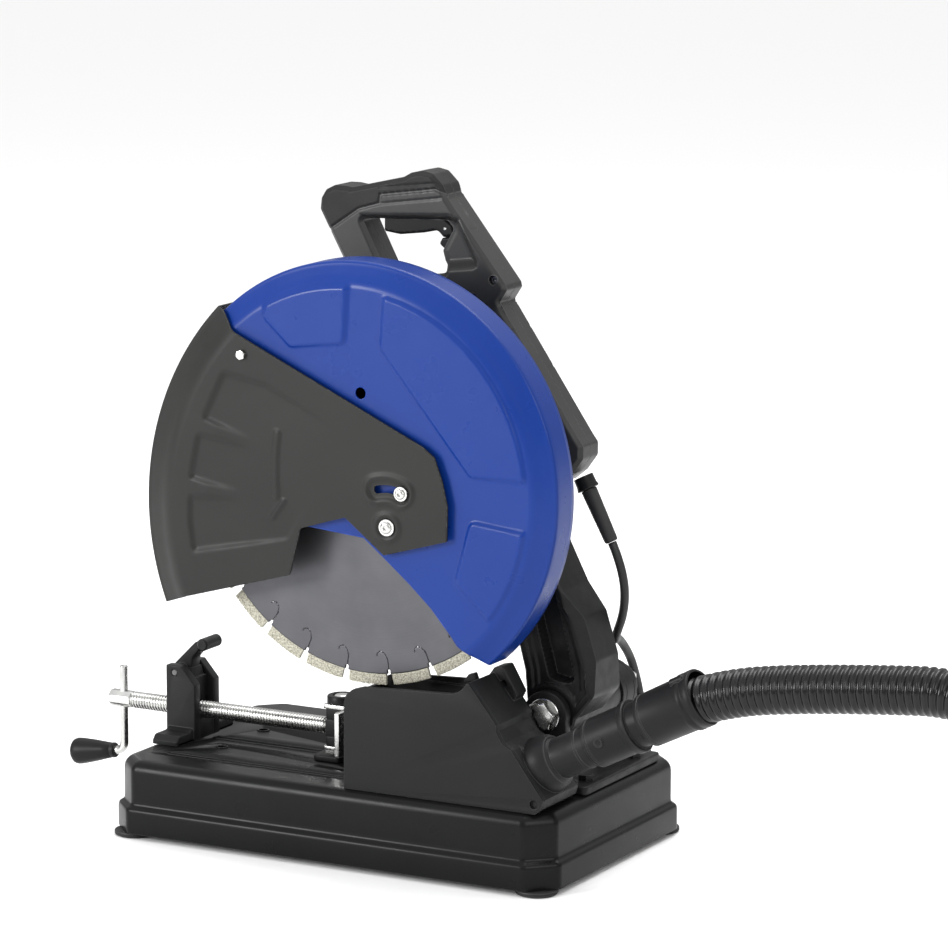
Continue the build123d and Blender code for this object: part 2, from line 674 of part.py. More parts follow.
with BuildPart() as motor_end_cap:
    with BuildSketch(Plane.XZ.offset(-MOTOR_END)):
        with Locations(MOTOR):
            Circle(50)
    with BuildSketch(Plane.XZ.offset(-(MOTOR_END + 17))):
        with Locations(MOTOR):
            Circle(42)
    loft()
    add(rod_y(MOTOR, 45.5, 99, MOTOR_END))
    add(rod_y(MOTOR, 42, 98, MOTOR_END + 8), mode=Mode.SUBTRACT)
    add(rod_y(MOTOR, 13, 92, MOTOR_END + 10))
    add(rod_y(MOTOR, 9, 91, 101), mode=Mode.SUBTRACT)
    for slot in range(12):
        centre = polar(MOTOR, 30, 30 * slot)
        with Locations(Location((centre[0], MOTOR_END + 12, centre[1]), (0, -30 * slot, 0))):
            Box(16, 20, 4, mode=Mode.SUBTRACT)
motor_end_cap.part.label = "motor_end_cap"
export_step(motor_end_cap.part, "parts/motor_end_cap.step")

with BuildPart() as brush_holders:
    add(rod_x(73, MOTOR[1], 7.9, MOTOR[0] + 22, MOTOR[0] + 51))
    add(rod_x(73, MOTOR[1], 9.5, MOTOR[0] + 51, MOTOR[0] + 54))
    add(rod_x(73, MOTOR[1], 7.9, MOTOR[0] - 51, MOTOR[0] - 22))
    add(rod_x(73, MOTOR[1], 9.5, MOTOR[0] - 54, MOTOR[0] - 51))
    add(block(MOTOR[0] + 14.4, MOTOR[0] + 22, 70, 76, MOTOR[1] - 4, MOTOR[1] + 4))
    add(block(MOTOR[0] - 22, MOTOR[0] - 14.4, 70, 76, MOTOR[1] - 4, MOTOR[1] + 4))
brush_holders.part.label = "brush_holders"
export_step(brush_holders.part, "parts/brush_holders.step")

# ---------------------------------------------------------------- blade and flanges

SEGMENTS = 24
CORE_RADIUS = BLADE_RADIUS - 10

with BuildPart() as blade_core:
    add(rod_y(SPINDLE, CORE_RADIUS, BLADE_Y - 1.2, BLADE_Y + 1.2))
    add(rod_y(SPINDLE, 5, -110, -80), mode=Mode.SUBTRACT)
    for segment in range(SEGMENTS):
        angle = 360 * (segment + 0.5) / SEGMENTS
        centre = polar(SPINDLE, CORE_RADIUS - 11, angle)
        with Locations(Location((centre[0], BLADE_Y, centre[1]), (0, -angle, 0))):
            Box(24, 4, 1.2, mode=Mode.SUBTRACT)
blade_core.part.label = "blade_core"
export_step(blade_core.part, "parts/blade_core.step")

with BuildPart() as blade_segments:
    for segment in range(SEGMENTS):
        middle = 360 * segment / SEGMENTS
        half = 180 / SEGMENTS - 1.3
        outer = arc_points(SPINDLE, BLADE_RADIUS, middle - half, middle + half, 6)
        inner = arc_points(SPINDLE, CORE_RADIUS + 0.05, middle + half + 0.3, middle - half - 0.3, 6)
        add(prism(outer + inner, BLADE_Y - 1.6, BLADE_Y + 1.6))
blade_segments.part.label = "blade_segments"
export_step(blade_segments.part, "parts/blade_segments.step")

with BuildPart() as inner_flange:
    add(rod_y(SPINDLE, 37, BLADE_Y + 1.2, -88))
    add(rod_y(SPINDLE, 20, -88, -85))
    add(rod_y(SPINDLE, 10, -92, -80), mode=Mode.SUBTRACT)
    add(rod_y(SPINDLE, 5, -100, -80), mode=Mode.SUBTRACT)
inner_flange.part.label = "inner_flange"
export_step(inner_flange.part, "parts/inner_flange.step")

with BuildPart() as outer_flange:
    add(rod_y(SPINDLE, 37, -99, BLADE_Y - 1.2))
    add(rod_y(SPINDLE, 22, -102, -99))
    add(rod_y(SPINDLE, 5, -110, -80), mode=Mode.SUBTRACT)
outer_flange.part.label = "outer_flange"
export_step(outer_flange.part, "parts/outer_flange.step")

with BuildPart() as arbor_bolt:
    add(rod_y(SPINDLE, 13, -104, -102))
    add(hex_y(SPINDLE, 17, -110.5, -104))
    add(rod_y(SPINDLE, 4, -104, -91))
arbor_bolt.part.label = "arbor_bolt"
export_step(arbor_bolt.part, "parts/arbor_bolt.step")

# ---------------------------------------------------------------- upper guard

# corners of the opening: left end, hub and lower right tip
GUARD_LOWER = [(-176, 300), (-60, 306), (33, 298), (52, 283), (79, 261), (100, 242), (120, 219), (126, 211),
               (152, 195)]
GUARD_HOLE = (30, 426)


def guard_outline(radius):
    """The guard's side shape: a round back over an opening at the lower left."""
    tip = atan2(GUARD_LOWER[-1][1] - GUARD_CENTRE[1], GUARD_LOWER[-1][0] - GUARD_CENTRE[0])
    heel = atan2(GUARD_LOWER[0][1] - GUARD_CENTRE[1], GUARD_LOWER[0][0] - GUARD_CENTRE[0])
    start = degrees(tip)
    stop = degrees(heel) + 360
    return arc_points(GUARD_CENTRE, radius, start, stop, 90)


with BuildPart() as guard_keep:
    add(prism(GUARD_LOWER + guard_outline(260), -125, -70))

with BuildPart() as upper_guard:
    add(drum(GUARD_CENTRE, GUARD_RADIUS, GUARD_RADIUS - 19, GUARD_FACE, -110, -79))
    add(drum(GUARD_CENTRE, GUARD_RADIUS - 1.6, GUARD_RADIUS - 20.2, -118.4, -109.5, -70), mode=Mode.SUBTRACT)
    add(guard_keep.part, mode=Mode.INTERSECT)
    add(rod_y(GUARD_HOLE, 5.2, -125, -110), mode=Mode.SUBTRACT)
    add(rod_y(FRONT_GUARD_PIVOT, 4, -125, -115), mode=Mode.SUBTRACT)
    add(rod_y((74, 342), 3, -125, -115), mode=Mode.SUBTRACT)
upper_guard.part.label = "upper_guard"
export_step(upper_guard.part, "parts/upper_guard.step")

with BuildPart() as guard_back_plate:
    add(rod_y(GUARD_CENTRE, GUARD_RADIUS - 1.7, -81, -79))
    add(guard_keep.part, mode=Mode.INTERSECT)
    add(rod_y(SPINDLE, 50, -81, -79))
    add(rod_y(SPINDLE, 20.5, -90, -76), mode=Mode.SUBTRACT)
    add(rod_y(SPINDLE, 27, -79, -76.5))
    add(rod_y(SPINDLE, 20.5, -90, -76), mode=Mode.SUBTRACT)
guard_back_plate.part.label = "guard_back_plate"
export_step(guard_back_plate.part, "parts/guard_back_plate.step")

# ---------------------------------------------------------------- front guard

FRONT_FACE = -127
FRONT_BACK = -82
FRONT_GUARD_OUTLINE = [(-118, 490), (-99, 473), (95, 385), (106, 376), (114, 356), (120, 335), (119, 304),
                       (54, 286), (18, 316), (-28, 302), (-38, 260), (-144, 229), (-212, 205)]
SLOT_SCREW = (74, 342)
SLOT_RADIUS = hypot(SLOT_SCREW[0] - FRONT_GUARD_PIVOT[0], SLOT_SCREW[1] - FRONT_GUARD_PIVOT[1])
SLOT_ANGLE = degrees(atan2(SLOT_SCREW[1] - FRONT_GUARD_PIVOT[1], SLOT_SCREW[0] - FRONT_GUARD_PIVOT[0]))
SLOT_TRAVEL = 41
GUARD_HEX = (-86, 452)


with BuildPart() as front_guard:
    rim_arc = arc_points(FRONT_GUARD_PIVOT, FRONT_GUARD_RADIUS + 20, 201.5, 136, 40)
    add(drum(FRONT_GUARD_PIVOT, FRONT_GUARD_RADIUS, FRONT_GUARD_RADIUS - 32, FRONT_FACE, -112, FRONT_BACK))
    add(drum(FRONT_GUARD_PIVOT, FRONT_GUARD_RADIUS - 2, FRONT_GUARD_RADIUS - 32.9, FRONT_FACE + 2, -110.5,
             FRONT_BACK + 5), mode=Mode.SUBTRACT)
    add(prism(FRONT_GUARD_OUTLINE + rim_arc, -130, -80), mode=Mode.INTERSECT)
    add(rod_y(FRONT_GUARD_PIVOT, 4.06, -130, -120), mode=Mode.SUBTRACT)
    slot_outer = arc_points(FRONT_GUARD_PIVOT, SLOT_RADIUS + 3.5, SLOT_ANGLE, SLOT_ANGLE + SLOT_TRAVEL, 16)
    slot_inner = arc_points(FRONT_GUARD_PIVOT, SLOT_RADIUS - 3.5, SLOT_ANGLE + SLOT_TRAVEL, SLOT_ANGLE, 16)
    add(prism(slot_outer + slot_inner, -130, -120), mode=Mode.SUBTRACT)
    add(rod_y(SLOT_SCREW, 3.5, -130, -120), mode=Mode.SUBTRACT)
    slot_end = polar(FRONT_GUARD_PIVOT, SLOT_RADIUS, SLOT_ANGLE + SLOT_TRAVEL)
    add(rod_y(slot_end, 3.5, -130, -120), mode=Mode.SUBTRACT)
    add(rod_y(GUARD_HEX, 2.5, -130, -120), mode=Mode.SUBTRACT)
front_guard.part.label = "front_guard"
export_step(front_guard.part, "parts/front_guard.step")

with BuildPart() as guard_hex_bolt:
    add(hex_y(GUARD_HEX, 8, -130.5, -127))
    add(rod_y(GUARD_HEX, 2.5, -127, -122.5))
    add(hex_y(GUARD_HEX, 8, -124.9, -122))
guard_hex_bolt.part.label = "guard_hex_bolt"
export_step(guard_hex_bolt.part, "parts/guard_hex_bolt.step")

with BuildPart() as guard_pivot_screws:
    add(rod_y(FRONT_GUARD_PIVOT, 7.5, -130.5, -127.3))
    add(rod_y(FRONT_GUARD_PIVOT, 4, -127.3, -116))
    add(rod_y(FRONT_GUARD_PIVOT, 7, -124.6, -120))
    add(rod_y(SLOT_SCREW, 6.5, -130.5, -127.3))
    add(rod_y(SLOT_SCREW, 3, -127.3, -116))
    add(rod_y(SLOT_SCREW, 5.5, -124.6, -120))
guard_pivot_screws.part.label = "guard_pivot_screws"
export_step(guard_pivot_screws.part, "parts/guard_pivot_screws.step")

# ---------------------------------------------------------------- handle

HANDLE_Y = 22
HANDLE_HALF = 18
HANDLE_OUTLINE = [
    (-83, 566), (-82, 576), (-77, 584), (-68, 588.5), (-57, 588.5), (-50, 587.5), (2, 599.5), (10, 604),
    (22, 606.5), (32, 604.5), (42, 595), (47.5, 583), (105.5, 510), (106.5, 505.5), (99, 494), (178, 379),
    (183, 372.5), (183, 361), (173, 347), (160, 336.5), (90, 358), (16, 420), (-8, 430),
]
# the hole right through the handle, and the wider hollow that surrounds it on both sides
OPENING = [(-40, 560), (44, 563), (50, 556), (44, 545), (39, 536), (41.5, 527), (47, 517.5), (28, 512), (-13, 506),
           (-20, 522)]
HOLLOW = [(-43, 566), (50, 571), (60, 568), (73, 544), (80, 531), (79, 524), (74, 521), (47, 517.5), (28, 512),
          (-13, 506), (-20, 522)]
HOLLOW_DEPTH = 7
SEAM = [(-95, 530), (-72, 549), (-42, 569), (-21, 575), (-20, 583), (36, 591), (49, 585), (75, 587)]
COVER_CUT = SEAM + [(120, 640), (-120, 640)]
TRIGGER_HINGE = (-13, 571)
TRIGGER_POCKET = [(-26, 548), (-26, 578), (46, 582), (60, 566), (60, 531), (0, 528)]
HANDLE_SCREWS = [(94, 514), (75, 497), (-36, 512), (150, 390)]


def handle_half(y_low, y_high):
    """One half of the handle housing, split down its middle."""
    with BuildPart() as body:
        add(prism(HANDLE_OUTLINE, y_low, y_high))
        add(prism(OPENING, y_low - 1, y_high + 1), mode=Mode.SUBTRACT)
        add(prism(HOLLOW, HANDLE_Y - HANDLE_HALF - 1, HANDLE_Y - HANDLE_HALF + HOLLOW_DEPTH), mode=Mode.SUBTRACT)
        add(prism(HOLLOW, HANDLE_Y + HANDLE_HALF - HOLLOW_DEPTH, HANDLE_Y + HANDLE_HALF + 1), mode=Mode.SUBTRACT)
        add(prism(COVER_CUT, y_low - 1, y_high + 1), mode=Mode.SUBTRACT)
        add(prism(TRIGGER_POCKET, HANDLE_Y - 8, HANDLE_Y + 8), mode=Mode.SUBTRACT)
        add(rod_y(MOTOR, 50.3, y_low - 1, y_high + 1), mode=Mode.SUBTRACT)
        for spot in HANDLE_SCREWS:
            add(rod_y(spot, 2.2, y_low - 1, y_high + 1), mode=Mode.SUBTRACT)
            add(rod_y(spot, 4.2, HANDLE_Y - HANDLE_HALF - 1, HANDLE_Y - HANDLE_HALF + 6), mode=Mode.SUBTRACT)
    return body.part


with BuildPart() as handle_front_half:
    add(handle_half(HANDLE_Y - HANDLE_HALF, HANDLE_Y))
handle_front_half.part.label = "handle_front_half"
export_step(handle_front_half.part, "parts/handle_front_half.step")

with BuildPart() as handle_back_half:
    add(handle_half(HANDLE_Y, HANDLE_Y + HANDLE_HALF))
    add(rod_y(TRIGGER_HINGE, 2, HANDLE_Y - 7.8, HANDLE_Y + 9))
handle_back_half.part.label = "handle_back_half"
export_step(handle_back_half.part, "parts/handle_back_half.step")

with BuildPart() as grip_cover:
    add(prism(HANDLE_OUTLINE, HANDLE_Y - HANDLE_HALF, HANDLE_Y + HANDLE_HALF))
    add(prism(COVER_CUT, HANDLE_Y - 30, HANDLE_Y + 30), mode=Mode.INTERSECT)
    add(prism(TRIGGER_POCKET, HANDLE_Y - 8, HANDLE_Y + 8), mode=Mode.SUBTRACT)
grip_cover.part.label = "grip_cover"
export_step(grip_cover.part, "parts/grip_cover.step")

with BuildPart() as handle_screws:
    for spot in HANDLE_SCREWS:
        add(rod_y(spot, 4, HANDLE_Y - HANDLE_HALF + 3, HANDLE_Y - HANDLE_HALF + 6))
        add(rod_y(spot, 2.2, HANDLE_Y - HANDLE_HALF + 6, HANDLE_Y + HANDLE_HALF - 4))
handle_screws.part.label = "handle_screws"
export_step(handle_screws.part, "parts/handle_screws.step")

LOCK_PIN = (40, 555)

with BuildPart() as trigger:
    add(prism([(-22, 549), (-22, 575), (-8, 576), (2, 564), (34, 568), (48, 558), (49, 549), (38, 547),
               (32, 553), (18, 550), (-6, 547)], HANDLE_Y - 7.4, HANDLE_Y + 7.4))
    add(rod_y(TRIGGER_HINGE, 2.06, 0, 60), mode=Mode.SUBTRACT)
    add(rod_y(LOCK_PIN, 1.5, 0, 60), mode=Mode.SUBTRACT)
    add(block(36, 43, HANDLE_Y - 2.4, HANDLE_Y + 2.4, 540, 558.5), mode=Mode.SUBTRACT)
trigger.part.label = "trigger"
export_step(trigger.part, "parts/trigger.step")

with BuildPart() as trigger_lock:
    add(prism([(36, 546.2), (48, 548.2), (48, 540), (38, 537), (33, 541)], HANDLE_Y - 5, HANDLE_Y + 5))
    add(block(38, 42, HANDLE_Y - 2, HANDLE_Y + 2, 545, 555))
    add(rod_y(LOCK_PIN, 2.6, HANDLE_Y - 2, HANDLE_Y + 2))
    add(rod_y(LOCK_PIN, 1.44, HANDLE_Y - 7.3, HANDLE_Y + 7.3))
trigger_lock.part.label = "trigger_lock"
export_step(trigger_lock.part, "parts/trigger_lock.step")

# ---------------------------------------------------------------- mains cord

BOOT_START = Vector(178, HANDLE_Y, 338)
BOOT_AXIS = Vector(32, 0, -62).normalized()
boot_plane = Plane(origin=BOOT_START, x_dir=(0, 1, 0), z_dir=BOOT_AXIS)

with BuildPart() as cord_gland:
    with BuildSketch(boot_plane.offset(-6)):
        RegularPolygon(9, 6, major_radius=False)
    extrude(amount=13)
    with Locations(boot_plane.offset(-7)):
        Cylinder(5, 30, align=(Align.CENTER, Align.CENTER, Align.MIN), mode=Mode.SUBTRACT)
    add(prism(HANDLE_OUTLINE, 0, 50), mode=Mode.SUBTRACT)
cord_gland.part.label = "cord_gland"
export_step(cord_gland.part, "parts/cord_gland.step")

with BuildPart() as cord_boot:
    with Locations(boot_plane.offset(-4)):
        Cylinder(5, 12, align=(Align.CENTER, Align.CENTER, Align.MIN))
    with Locations(boot_plane.offset(8)):
        Cone(7, 5.2, 50, align=(Align.CENTER, Align.CENTER, Align.MIN))
    add(prism(HANDLE_OUTLINE, 0, 50), mode=Mode.SUBTRACT)
cord_boot.part.label = "cord_boot"
export_step(cord_boot.part, "parts/cord_boot.step")

cord_start = BOOT_START + BOOT_AXIS * 58.4
CORD_ROUTE = [
    (cord_start.X, cord_start.Y, cord_start.Z),
    (216, 22, 263),
    (215, 30, 226),
    (196, 44, 190),
    (177, 92, 186),
    (174, 137, 146),
    (176, 170, 30),
    (108, 206, 4.6),
    (31, 221.8, 4.6),
]
cord_radii = route_radii(CORD_ROUTE)
print("cord radii", [round(value, 1) for value in cord_radii])
with BuildPart() as mains_cord:
    with BuildLine() as cord_line:
        cord_path = FilletPolyline(*CORD_ROUTE, radius=cord_radii)
    with BuildSketch(Plane(origin=cord_path @ 0, z_dir=cord_path % 0)):
        Circle(CORD_RADIUS)
    sweep()
check_tube("cord", mains_cord.part, cord_path, pi * CORD_RADIUS**2)
mains_cord.part.label = "mains_cord"
export_step(mains_cord.part, "parts/mains_cord.step")

COIL_CENTRE = (10, 276)
with BuildPart() as cord_coil:
    add(rod_z(COIL_CENTRE[0], COIL_CENTRE[1], 60, 0.6, 16.6))
    add(rod_z(COIL_CENTRE[0], COIL_CENTRE[1], 36, 0, 20), mode=Mode.SUBTRACT)
    fillet(cord_coil.edges(), 3.5)
cord_coil.part.label = "cord_coil"
export_step(cord_coil.part, "parts/cord_coil.step")

with BuildPart() as mains_plug:
    with Locations((-84, 262, 14.6)):
        Box(34, 30, 28)
    fillet(mains_plug.edges(), 6)
    add(rod_x(252.5, 14.6, 2.4, -120, -98))
    add(rod_x(271.5, 14.6, 2.4, -120, -98))
mains_plug.part.label = "mains_plug"
export_step(mains_plug.part, "parts/mains_plug.step")
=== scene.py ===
import json
import math
from math import atan2, cos, degrees, hypot, pi, radians, sin

import bmesh
import bpy
import numpy as np
from mathutils import Matrix, Vector


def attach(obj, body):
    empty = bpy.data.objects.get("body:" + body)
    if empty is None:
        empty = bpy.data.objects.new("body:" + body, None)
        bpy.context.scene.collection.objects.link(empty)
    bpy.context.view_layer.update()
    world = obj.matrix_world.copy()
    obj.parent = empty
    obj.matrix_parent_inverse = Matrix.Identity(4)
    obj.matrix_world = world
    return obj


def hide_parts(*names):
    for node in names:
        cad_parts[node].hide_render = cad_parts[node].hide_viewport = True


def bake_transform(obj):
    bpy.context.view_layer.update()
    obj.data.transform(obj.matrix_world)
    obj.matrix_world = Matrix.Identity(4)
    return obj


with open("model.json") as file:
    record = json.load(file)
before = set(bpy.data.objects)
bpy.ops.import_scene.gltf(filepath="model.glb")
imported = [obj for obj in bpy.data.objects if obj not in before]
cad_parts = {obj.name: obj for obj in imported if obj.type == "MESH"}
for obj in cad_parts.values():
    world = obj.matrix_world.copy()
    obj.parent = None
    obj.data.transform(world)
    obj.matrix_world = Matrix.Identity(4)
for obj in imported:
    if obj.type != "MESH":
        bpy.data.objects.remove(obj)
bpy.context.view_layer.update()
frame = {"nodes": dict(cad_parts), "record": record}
NODES = frame["nodes"]
MM = 0.001

# Sizes below are in millimetres, in the frame of the CAD model, and become metres when a mesh is made.
DECK = 72
PIVOT = (174, 140)
SPINDLE = (23, 336)
BLADE_Y = -94
BLADE_RADIUS = 175
MOTOR = (23 + 51 * cos(radians(55.4)), 336 + 51 * sin(radians(55.4)))
GUARD_CENTRE = (20, 342)
FRONT_GUARD_PIVOT = (60, 311)
VISE_Y = -20
SCREW_Z = 97.5
HANDLE_Y = 22
OUTLET = (207, BLADE_Y, 112)
OUTLET_ANGLE = radians(27.4)
OUTLET_AXIS = Vector((cos(OUTLET_ANGLE), 0, sin(OUTLET_ANGLE)))


# ------------------------------------------------------------------ camera, light and floor

FLOOR_REACH = 30
HORIZON_GLOW = 0.34
SKY_GLOW = 1.25


def make_camera():
    """The photograph's view: azimuth 29.12, elevation 11.57, 4.18 m from the base."""
    azimuth = radians(29.12)
    elevation = radians(11.57)
    distance = 4.17715
    target = Vector((0, 0, 0.255))
    back = Vector((sin(azimuth) * cos(elevation), -cos(azimuth) * cos(elevation), sin(elevation)))
    data = bpy.data.cameras.new("camera")
    data.lens = 175.9
    data.sensor_width = 36
    data.shift_x = 0.0808
    data.shift_y = 0.0891
    data.clip_end = 50
    camera = bpy.data.objects.new("camera", data)
    camera.location = target + back * distance
    camera.rotation_euler = back.to_track_quat("Z", "Y").to_euler()
    bpy.context.scene.collection.objects.link(camera)
    bpy.context.scene.camera = camera


def area_light(name, place, target, size, power):
    """A soft square light aimed at a point."""
    data = bpy.data.lights.new(name, "AREA")
    data.energy = power
    data.shape = "RECTANGLE"
    data.size = data.size_y = size
    light = bpy.data.objects.new(name, data)
    light.location = place
    light.rotation_euler = (Vector(place) - Vector(target)).to_track_quat("Z", "Y").to_euler()
    bpy.context.scene.collection.objects.link(light)


def make_stage():
    """A pale floor, a white world that brightens upwards, and three soft lights."""
    world = bpy.data.worlds.new("studio")
    world.use_nodes = True
    tree = world.node_tree
    direction = tree.nodes.new("ShaderNodeTexCoord").outputs["Generated"]
    parts = tree.nodes.new("ShaderNodeSeparateXYZ")
    tree.links.new(direction, parts.inputs["Vector"])
    height = tree.nodes.new("ShaderNodeMapRange")
    glow = (("From Min", 0.0), ("From Max", 0.9), ("To Min", HORIZON_GLOW), ("To Max", SKY_GLOW))
    for socket, value in glow:
        height.inputs[socket].default_value = value
    tree.links.new(parts.outputs["Z"], height.inputs["Value"])
    tree.nodes["Background"].inputs["Color"].default_value = (1, 1, 1, 1)
    tree.links.new(height.outputs["Result"], tree.nodes["Background"].inputs["Strength"])
    bpy.context.scene.world = world
    bpy.context.scene.view_settings.view_transform = "Standard"
    mesh = bpy.data.meshes.new("floor")
    corners = [(-FLOOR_REACH, -FLOOR_REACH, 0), (FLOOR_REACH, -FLOOR_REACH, 0),
               (FLOOR_REACH, FLOOR_REACH, 0), (-FLOOR_REACH, FLOOR_REACH, 0)]
    mesh.from_pydata(corners, [], [(0, 1, 2, 3)])
    floor = bpy.data.objects.new("floor", mesh)
    bpy.context.scene.collection.objects.link(floor)
    material = bpy.data.materials.new("floor")
    material.use_nodes = True
    shader = material.node_tree.nodes["Principled BSDF"]
    shader.inputs["Base Color"].default_value = (0.93, 0.93, 0.93, 1)
    shader.inputs["Roughness"].default_value = 0.9
    mesh.materials.append(material)
    area_light("key", (-2.0, -3.0, 1.3), (0, 0, 0.3), 1.2, 100)
    area_light("fill", (3.0, -1.8, 1.8), (0, 0, 0.3), 1.6, 30)
    area_light("top", (0.2, 0.9, 3.0), (0, 0, 0.2), 2.2, 70)


# ------------------------------------------------------------------ materials

class Shader:
    """A principled material built up from a few procedural layers."""

    def __init__(self, name):
        self.material = bpy.data.materials.new(name)
        self.material.use_nodes = True
        self.tree = self.material.node_tree
        self.bsdf = self.tree.nodes["Principled BSDF"]
        self.coordinates = self.tree.nodes.new("ShaderNodeTexCoord").outputs["Object"]
        self.normal = None

    def node(self, kind, **values):
        made = self.tree.nodes.new(kind)
        for key, value in values.items():
            setattr(made, key, value)
        return made

    def link(self, source, target):
        self.tree.links.new(source, target)

    def noise(self, scale, detail=4.0, stretch=None):
        """Noise in object space, in cycles per metre, with an optional stretch per axis."""
        source = self.coordinates
        if stretch:
            mapping = self.node("ShaderNodeMapping")
            mapping.inputs["Scale"].default_value = stretch
            self.link(source, mapping.inputs["Vector"])
            source = mapping.outputs["Vector"]
        texture = self.node("ShaderNodeTexNoise")
        texture.inputs["Scale"].default_value = scale
        texture.inputs["Detail"].default_value = detail
        self.link(source, texture.inputs["Vector"])
        return texture.outputs["Fac"]

    def spread(self, source, low, high, from_low=0.3, from_high=0.7):
        """Maps a value from one range to another."""
        ranged = self.node("ShaderNodeMapRange")
        ranged.inputs["From Min"].default_value = from_low
        ranged.inputs["From Max"].default_value = from_high
        ranged.inputs["To Min"].default_value = low
        ranged.inputs["To Max"].default_value = high
        self.link(source, ranged.inputs["Value"])
        return ranged.outputs["Result"]

    def mix(self, factor, first, second):
        """A colour between two colours or sockets."""
        blend = self.node("ShaderNodeMix", data_type="RGBA")
        self.link(factor, blend.inputs["Factor"])
        for socket, value in ((blend.inputs[6], first), (blend.inputs[7], second)):
            if isinstance(value, tuple):
                socket.default_value = (*value, 1)
            else:
                self.link(value, socket)
        return blend.outputs[2]

    def edges(self, radius=0.0012, low=0.02, high=0.12):
        """Brighter where the surface turns sharply, for worn and lit edges."""
        bevel = self.node("ShaderNodeBevel", samples=6)
        bevel.inputs["Radius"].default_value = radius
        geometry = self.node("ShaderNodeNewGeometry")
        dot = self.node("ShaderNodeVectorMath", operation="DOT_PRODUCT")
        self.link(bevel.outputs["Normal"], dot.inputs[0])
        self.link(geometry.outputs["Normal"], dot.inputs[1])
        return self.spread(dot.outputs["Value"], 1, 0, 1 - high, 1 - low)

    def bump(self, source, distance, strength=0.5):
        """Adds a bump layer on top of the earlier ones."""
        made = self.node("ShaderNodeBump")
        made.inputs["Distance"].default_value = distance
        made.inputs["Strength"].default_value = strength
        self.link(source, made.inputs["Height"])
        if self.normal:
            self.link(self.normal, made.inputs["Normal"])
        self.normal = made.outputs["Normal"]

    def finish(self, colour, roughness, metallic=0.0, specular=0.5):
        """Links colour and roughness and returns the material."""
        for name, value in (("Base Color", colour), ("Roughness", roughness)):
            if isinstance(value, tuple):
                self.bsdf.inputs[name].default_value = (*value, 1)
            elif isinstance(value, (int, float)):
                self.bsdf.inputs[name].default_value = value
            else:
                self.link(value, self.bsdf.inputs[name])
        self.bsdf.inputs["Metallic"].default_value = metallic
        self.bsdf.inputs["Specular IOR Level"].default_value = specular
        if self.normal:
            self.link(self.normal, self.bsdf.inputs["Normal"])
        self.material.diffuse_color = (0.2, 0.2, 0.2, 1)
        return self.material


def powder_coat(name, dark, light, rough, grain, specular):
    """Sprayed and baked paint: a fine orange-peel bump, faint cloudiness, and lighter edges that are partly worn
    paint and partly painted highlight.
    """
    shader = Shader(name)
    cloud = shader.spread(shader.noise(9), 0, 1)
    colour = shader.mix(cloud, dark, light)
    # Edge colour: partly worn paint, partly a painted highlight along sharp edges.
    worn_and_lit_edge = tuple(min(1, value * 3.2 + 0.03) for value in light)
    colour = shader.mix(shader.edges(), colour, worn_and_lit_edge)
    shader.bump(shader.noise(900, 2), grain, 0.35)
    shader.bump(shader.noise(60, 3), grain * 2, 0.12)
    roughness = shader.spread(shader.noise(35), rough * 0.88, rough * 1.14)
    return shader.finish(colour, roughness, 0, specular)


def moulded_plastic(name, dark, light, rough, grain_scale=1500, grain=0.00006, specular=0.45):
    """Injection-moulded plastic: a fine grain, faint cloudiness, and lighter edges that are partly rubbed and
    partly painted highlight.
    """
    shader = Shader(name)
    cloud = shader.spread(shader.noise(14), 0, 1)
    colour = shader.mix(cloud, dark, light)
    # Edge colour: partly rubbed plastic, partly a painted highlight along sharp edges.
    rubbed_and_lit_edge = tuple(min(1, value * 2.2 + 0.02) for value in light)
    colour = shader.mix(shader.edges(0.0015), colour, rubbed_and_lit_edge)
    voronoi = shader.node("ShaderNodeTexVoronoi", feature="SMOOTH_F1")
    voronoi.inputs["Scale"].default_value = grain_scale
    shader.link(shader.coordinates, voronoi.inputs["Vector"])
    shader.bump(voronoi.outputs["Distance"], grain, 0.5)
    roughness = shader.spread(shader.noise(40), rough * 0.85, rough * 1.15)
    return shader.finish(colour, roughness, 0, specular)


def cast_metal(name, dark, light, rough):
    """Black painted casting: a sandy skin, soft unevenness, and lighter edges that are partly rubbed and partly
    painted highlight.
    """
    shader = Shader(name)
    cloud = shader.spread(shader.noise(18), 0, 1)
    colour = shader.mix(cloud, dark, light)
    # Edge colour: partly rubbed paint, partly a painted highlight along sharp edges.
    rubbed_and_lit_edge = tuple(min(1, value * 2.4 + 0.02) for value in light)
    colour = shader.mix(shader.edges(0.0016), colour, rubbed_and_lit_edge)
    shader.bump(shader.noise(700, 3), 0.00018, 0.6)
    shader.bump(shader.noise(90, 3), 0.0006, 0.18)
    roughness = shader.spread(shader.noise(60), rough * 0.8, rough * 1.2)
    return shader.finish(colour, roughness, 0, 0.18)


def plated_metal(name, dark, light, rough):
    """Zinc-plated or machined steel with fine scratches and a little tarnish."""
    shader = Shader(name)
    cloud = shader.spread(shader.noise(70), 0, 1)
    colour = shader.mix(cloud, dark, light)
    shader.bump(shader.noise(500, 5, (1, 1, 6)), 0.00004, 0.4)
    roughness = shader.spread(shader.noise(160, 4), rough * 0.7, rough * 1.35)
    return shader.finish(colour, roughness, 1.0)


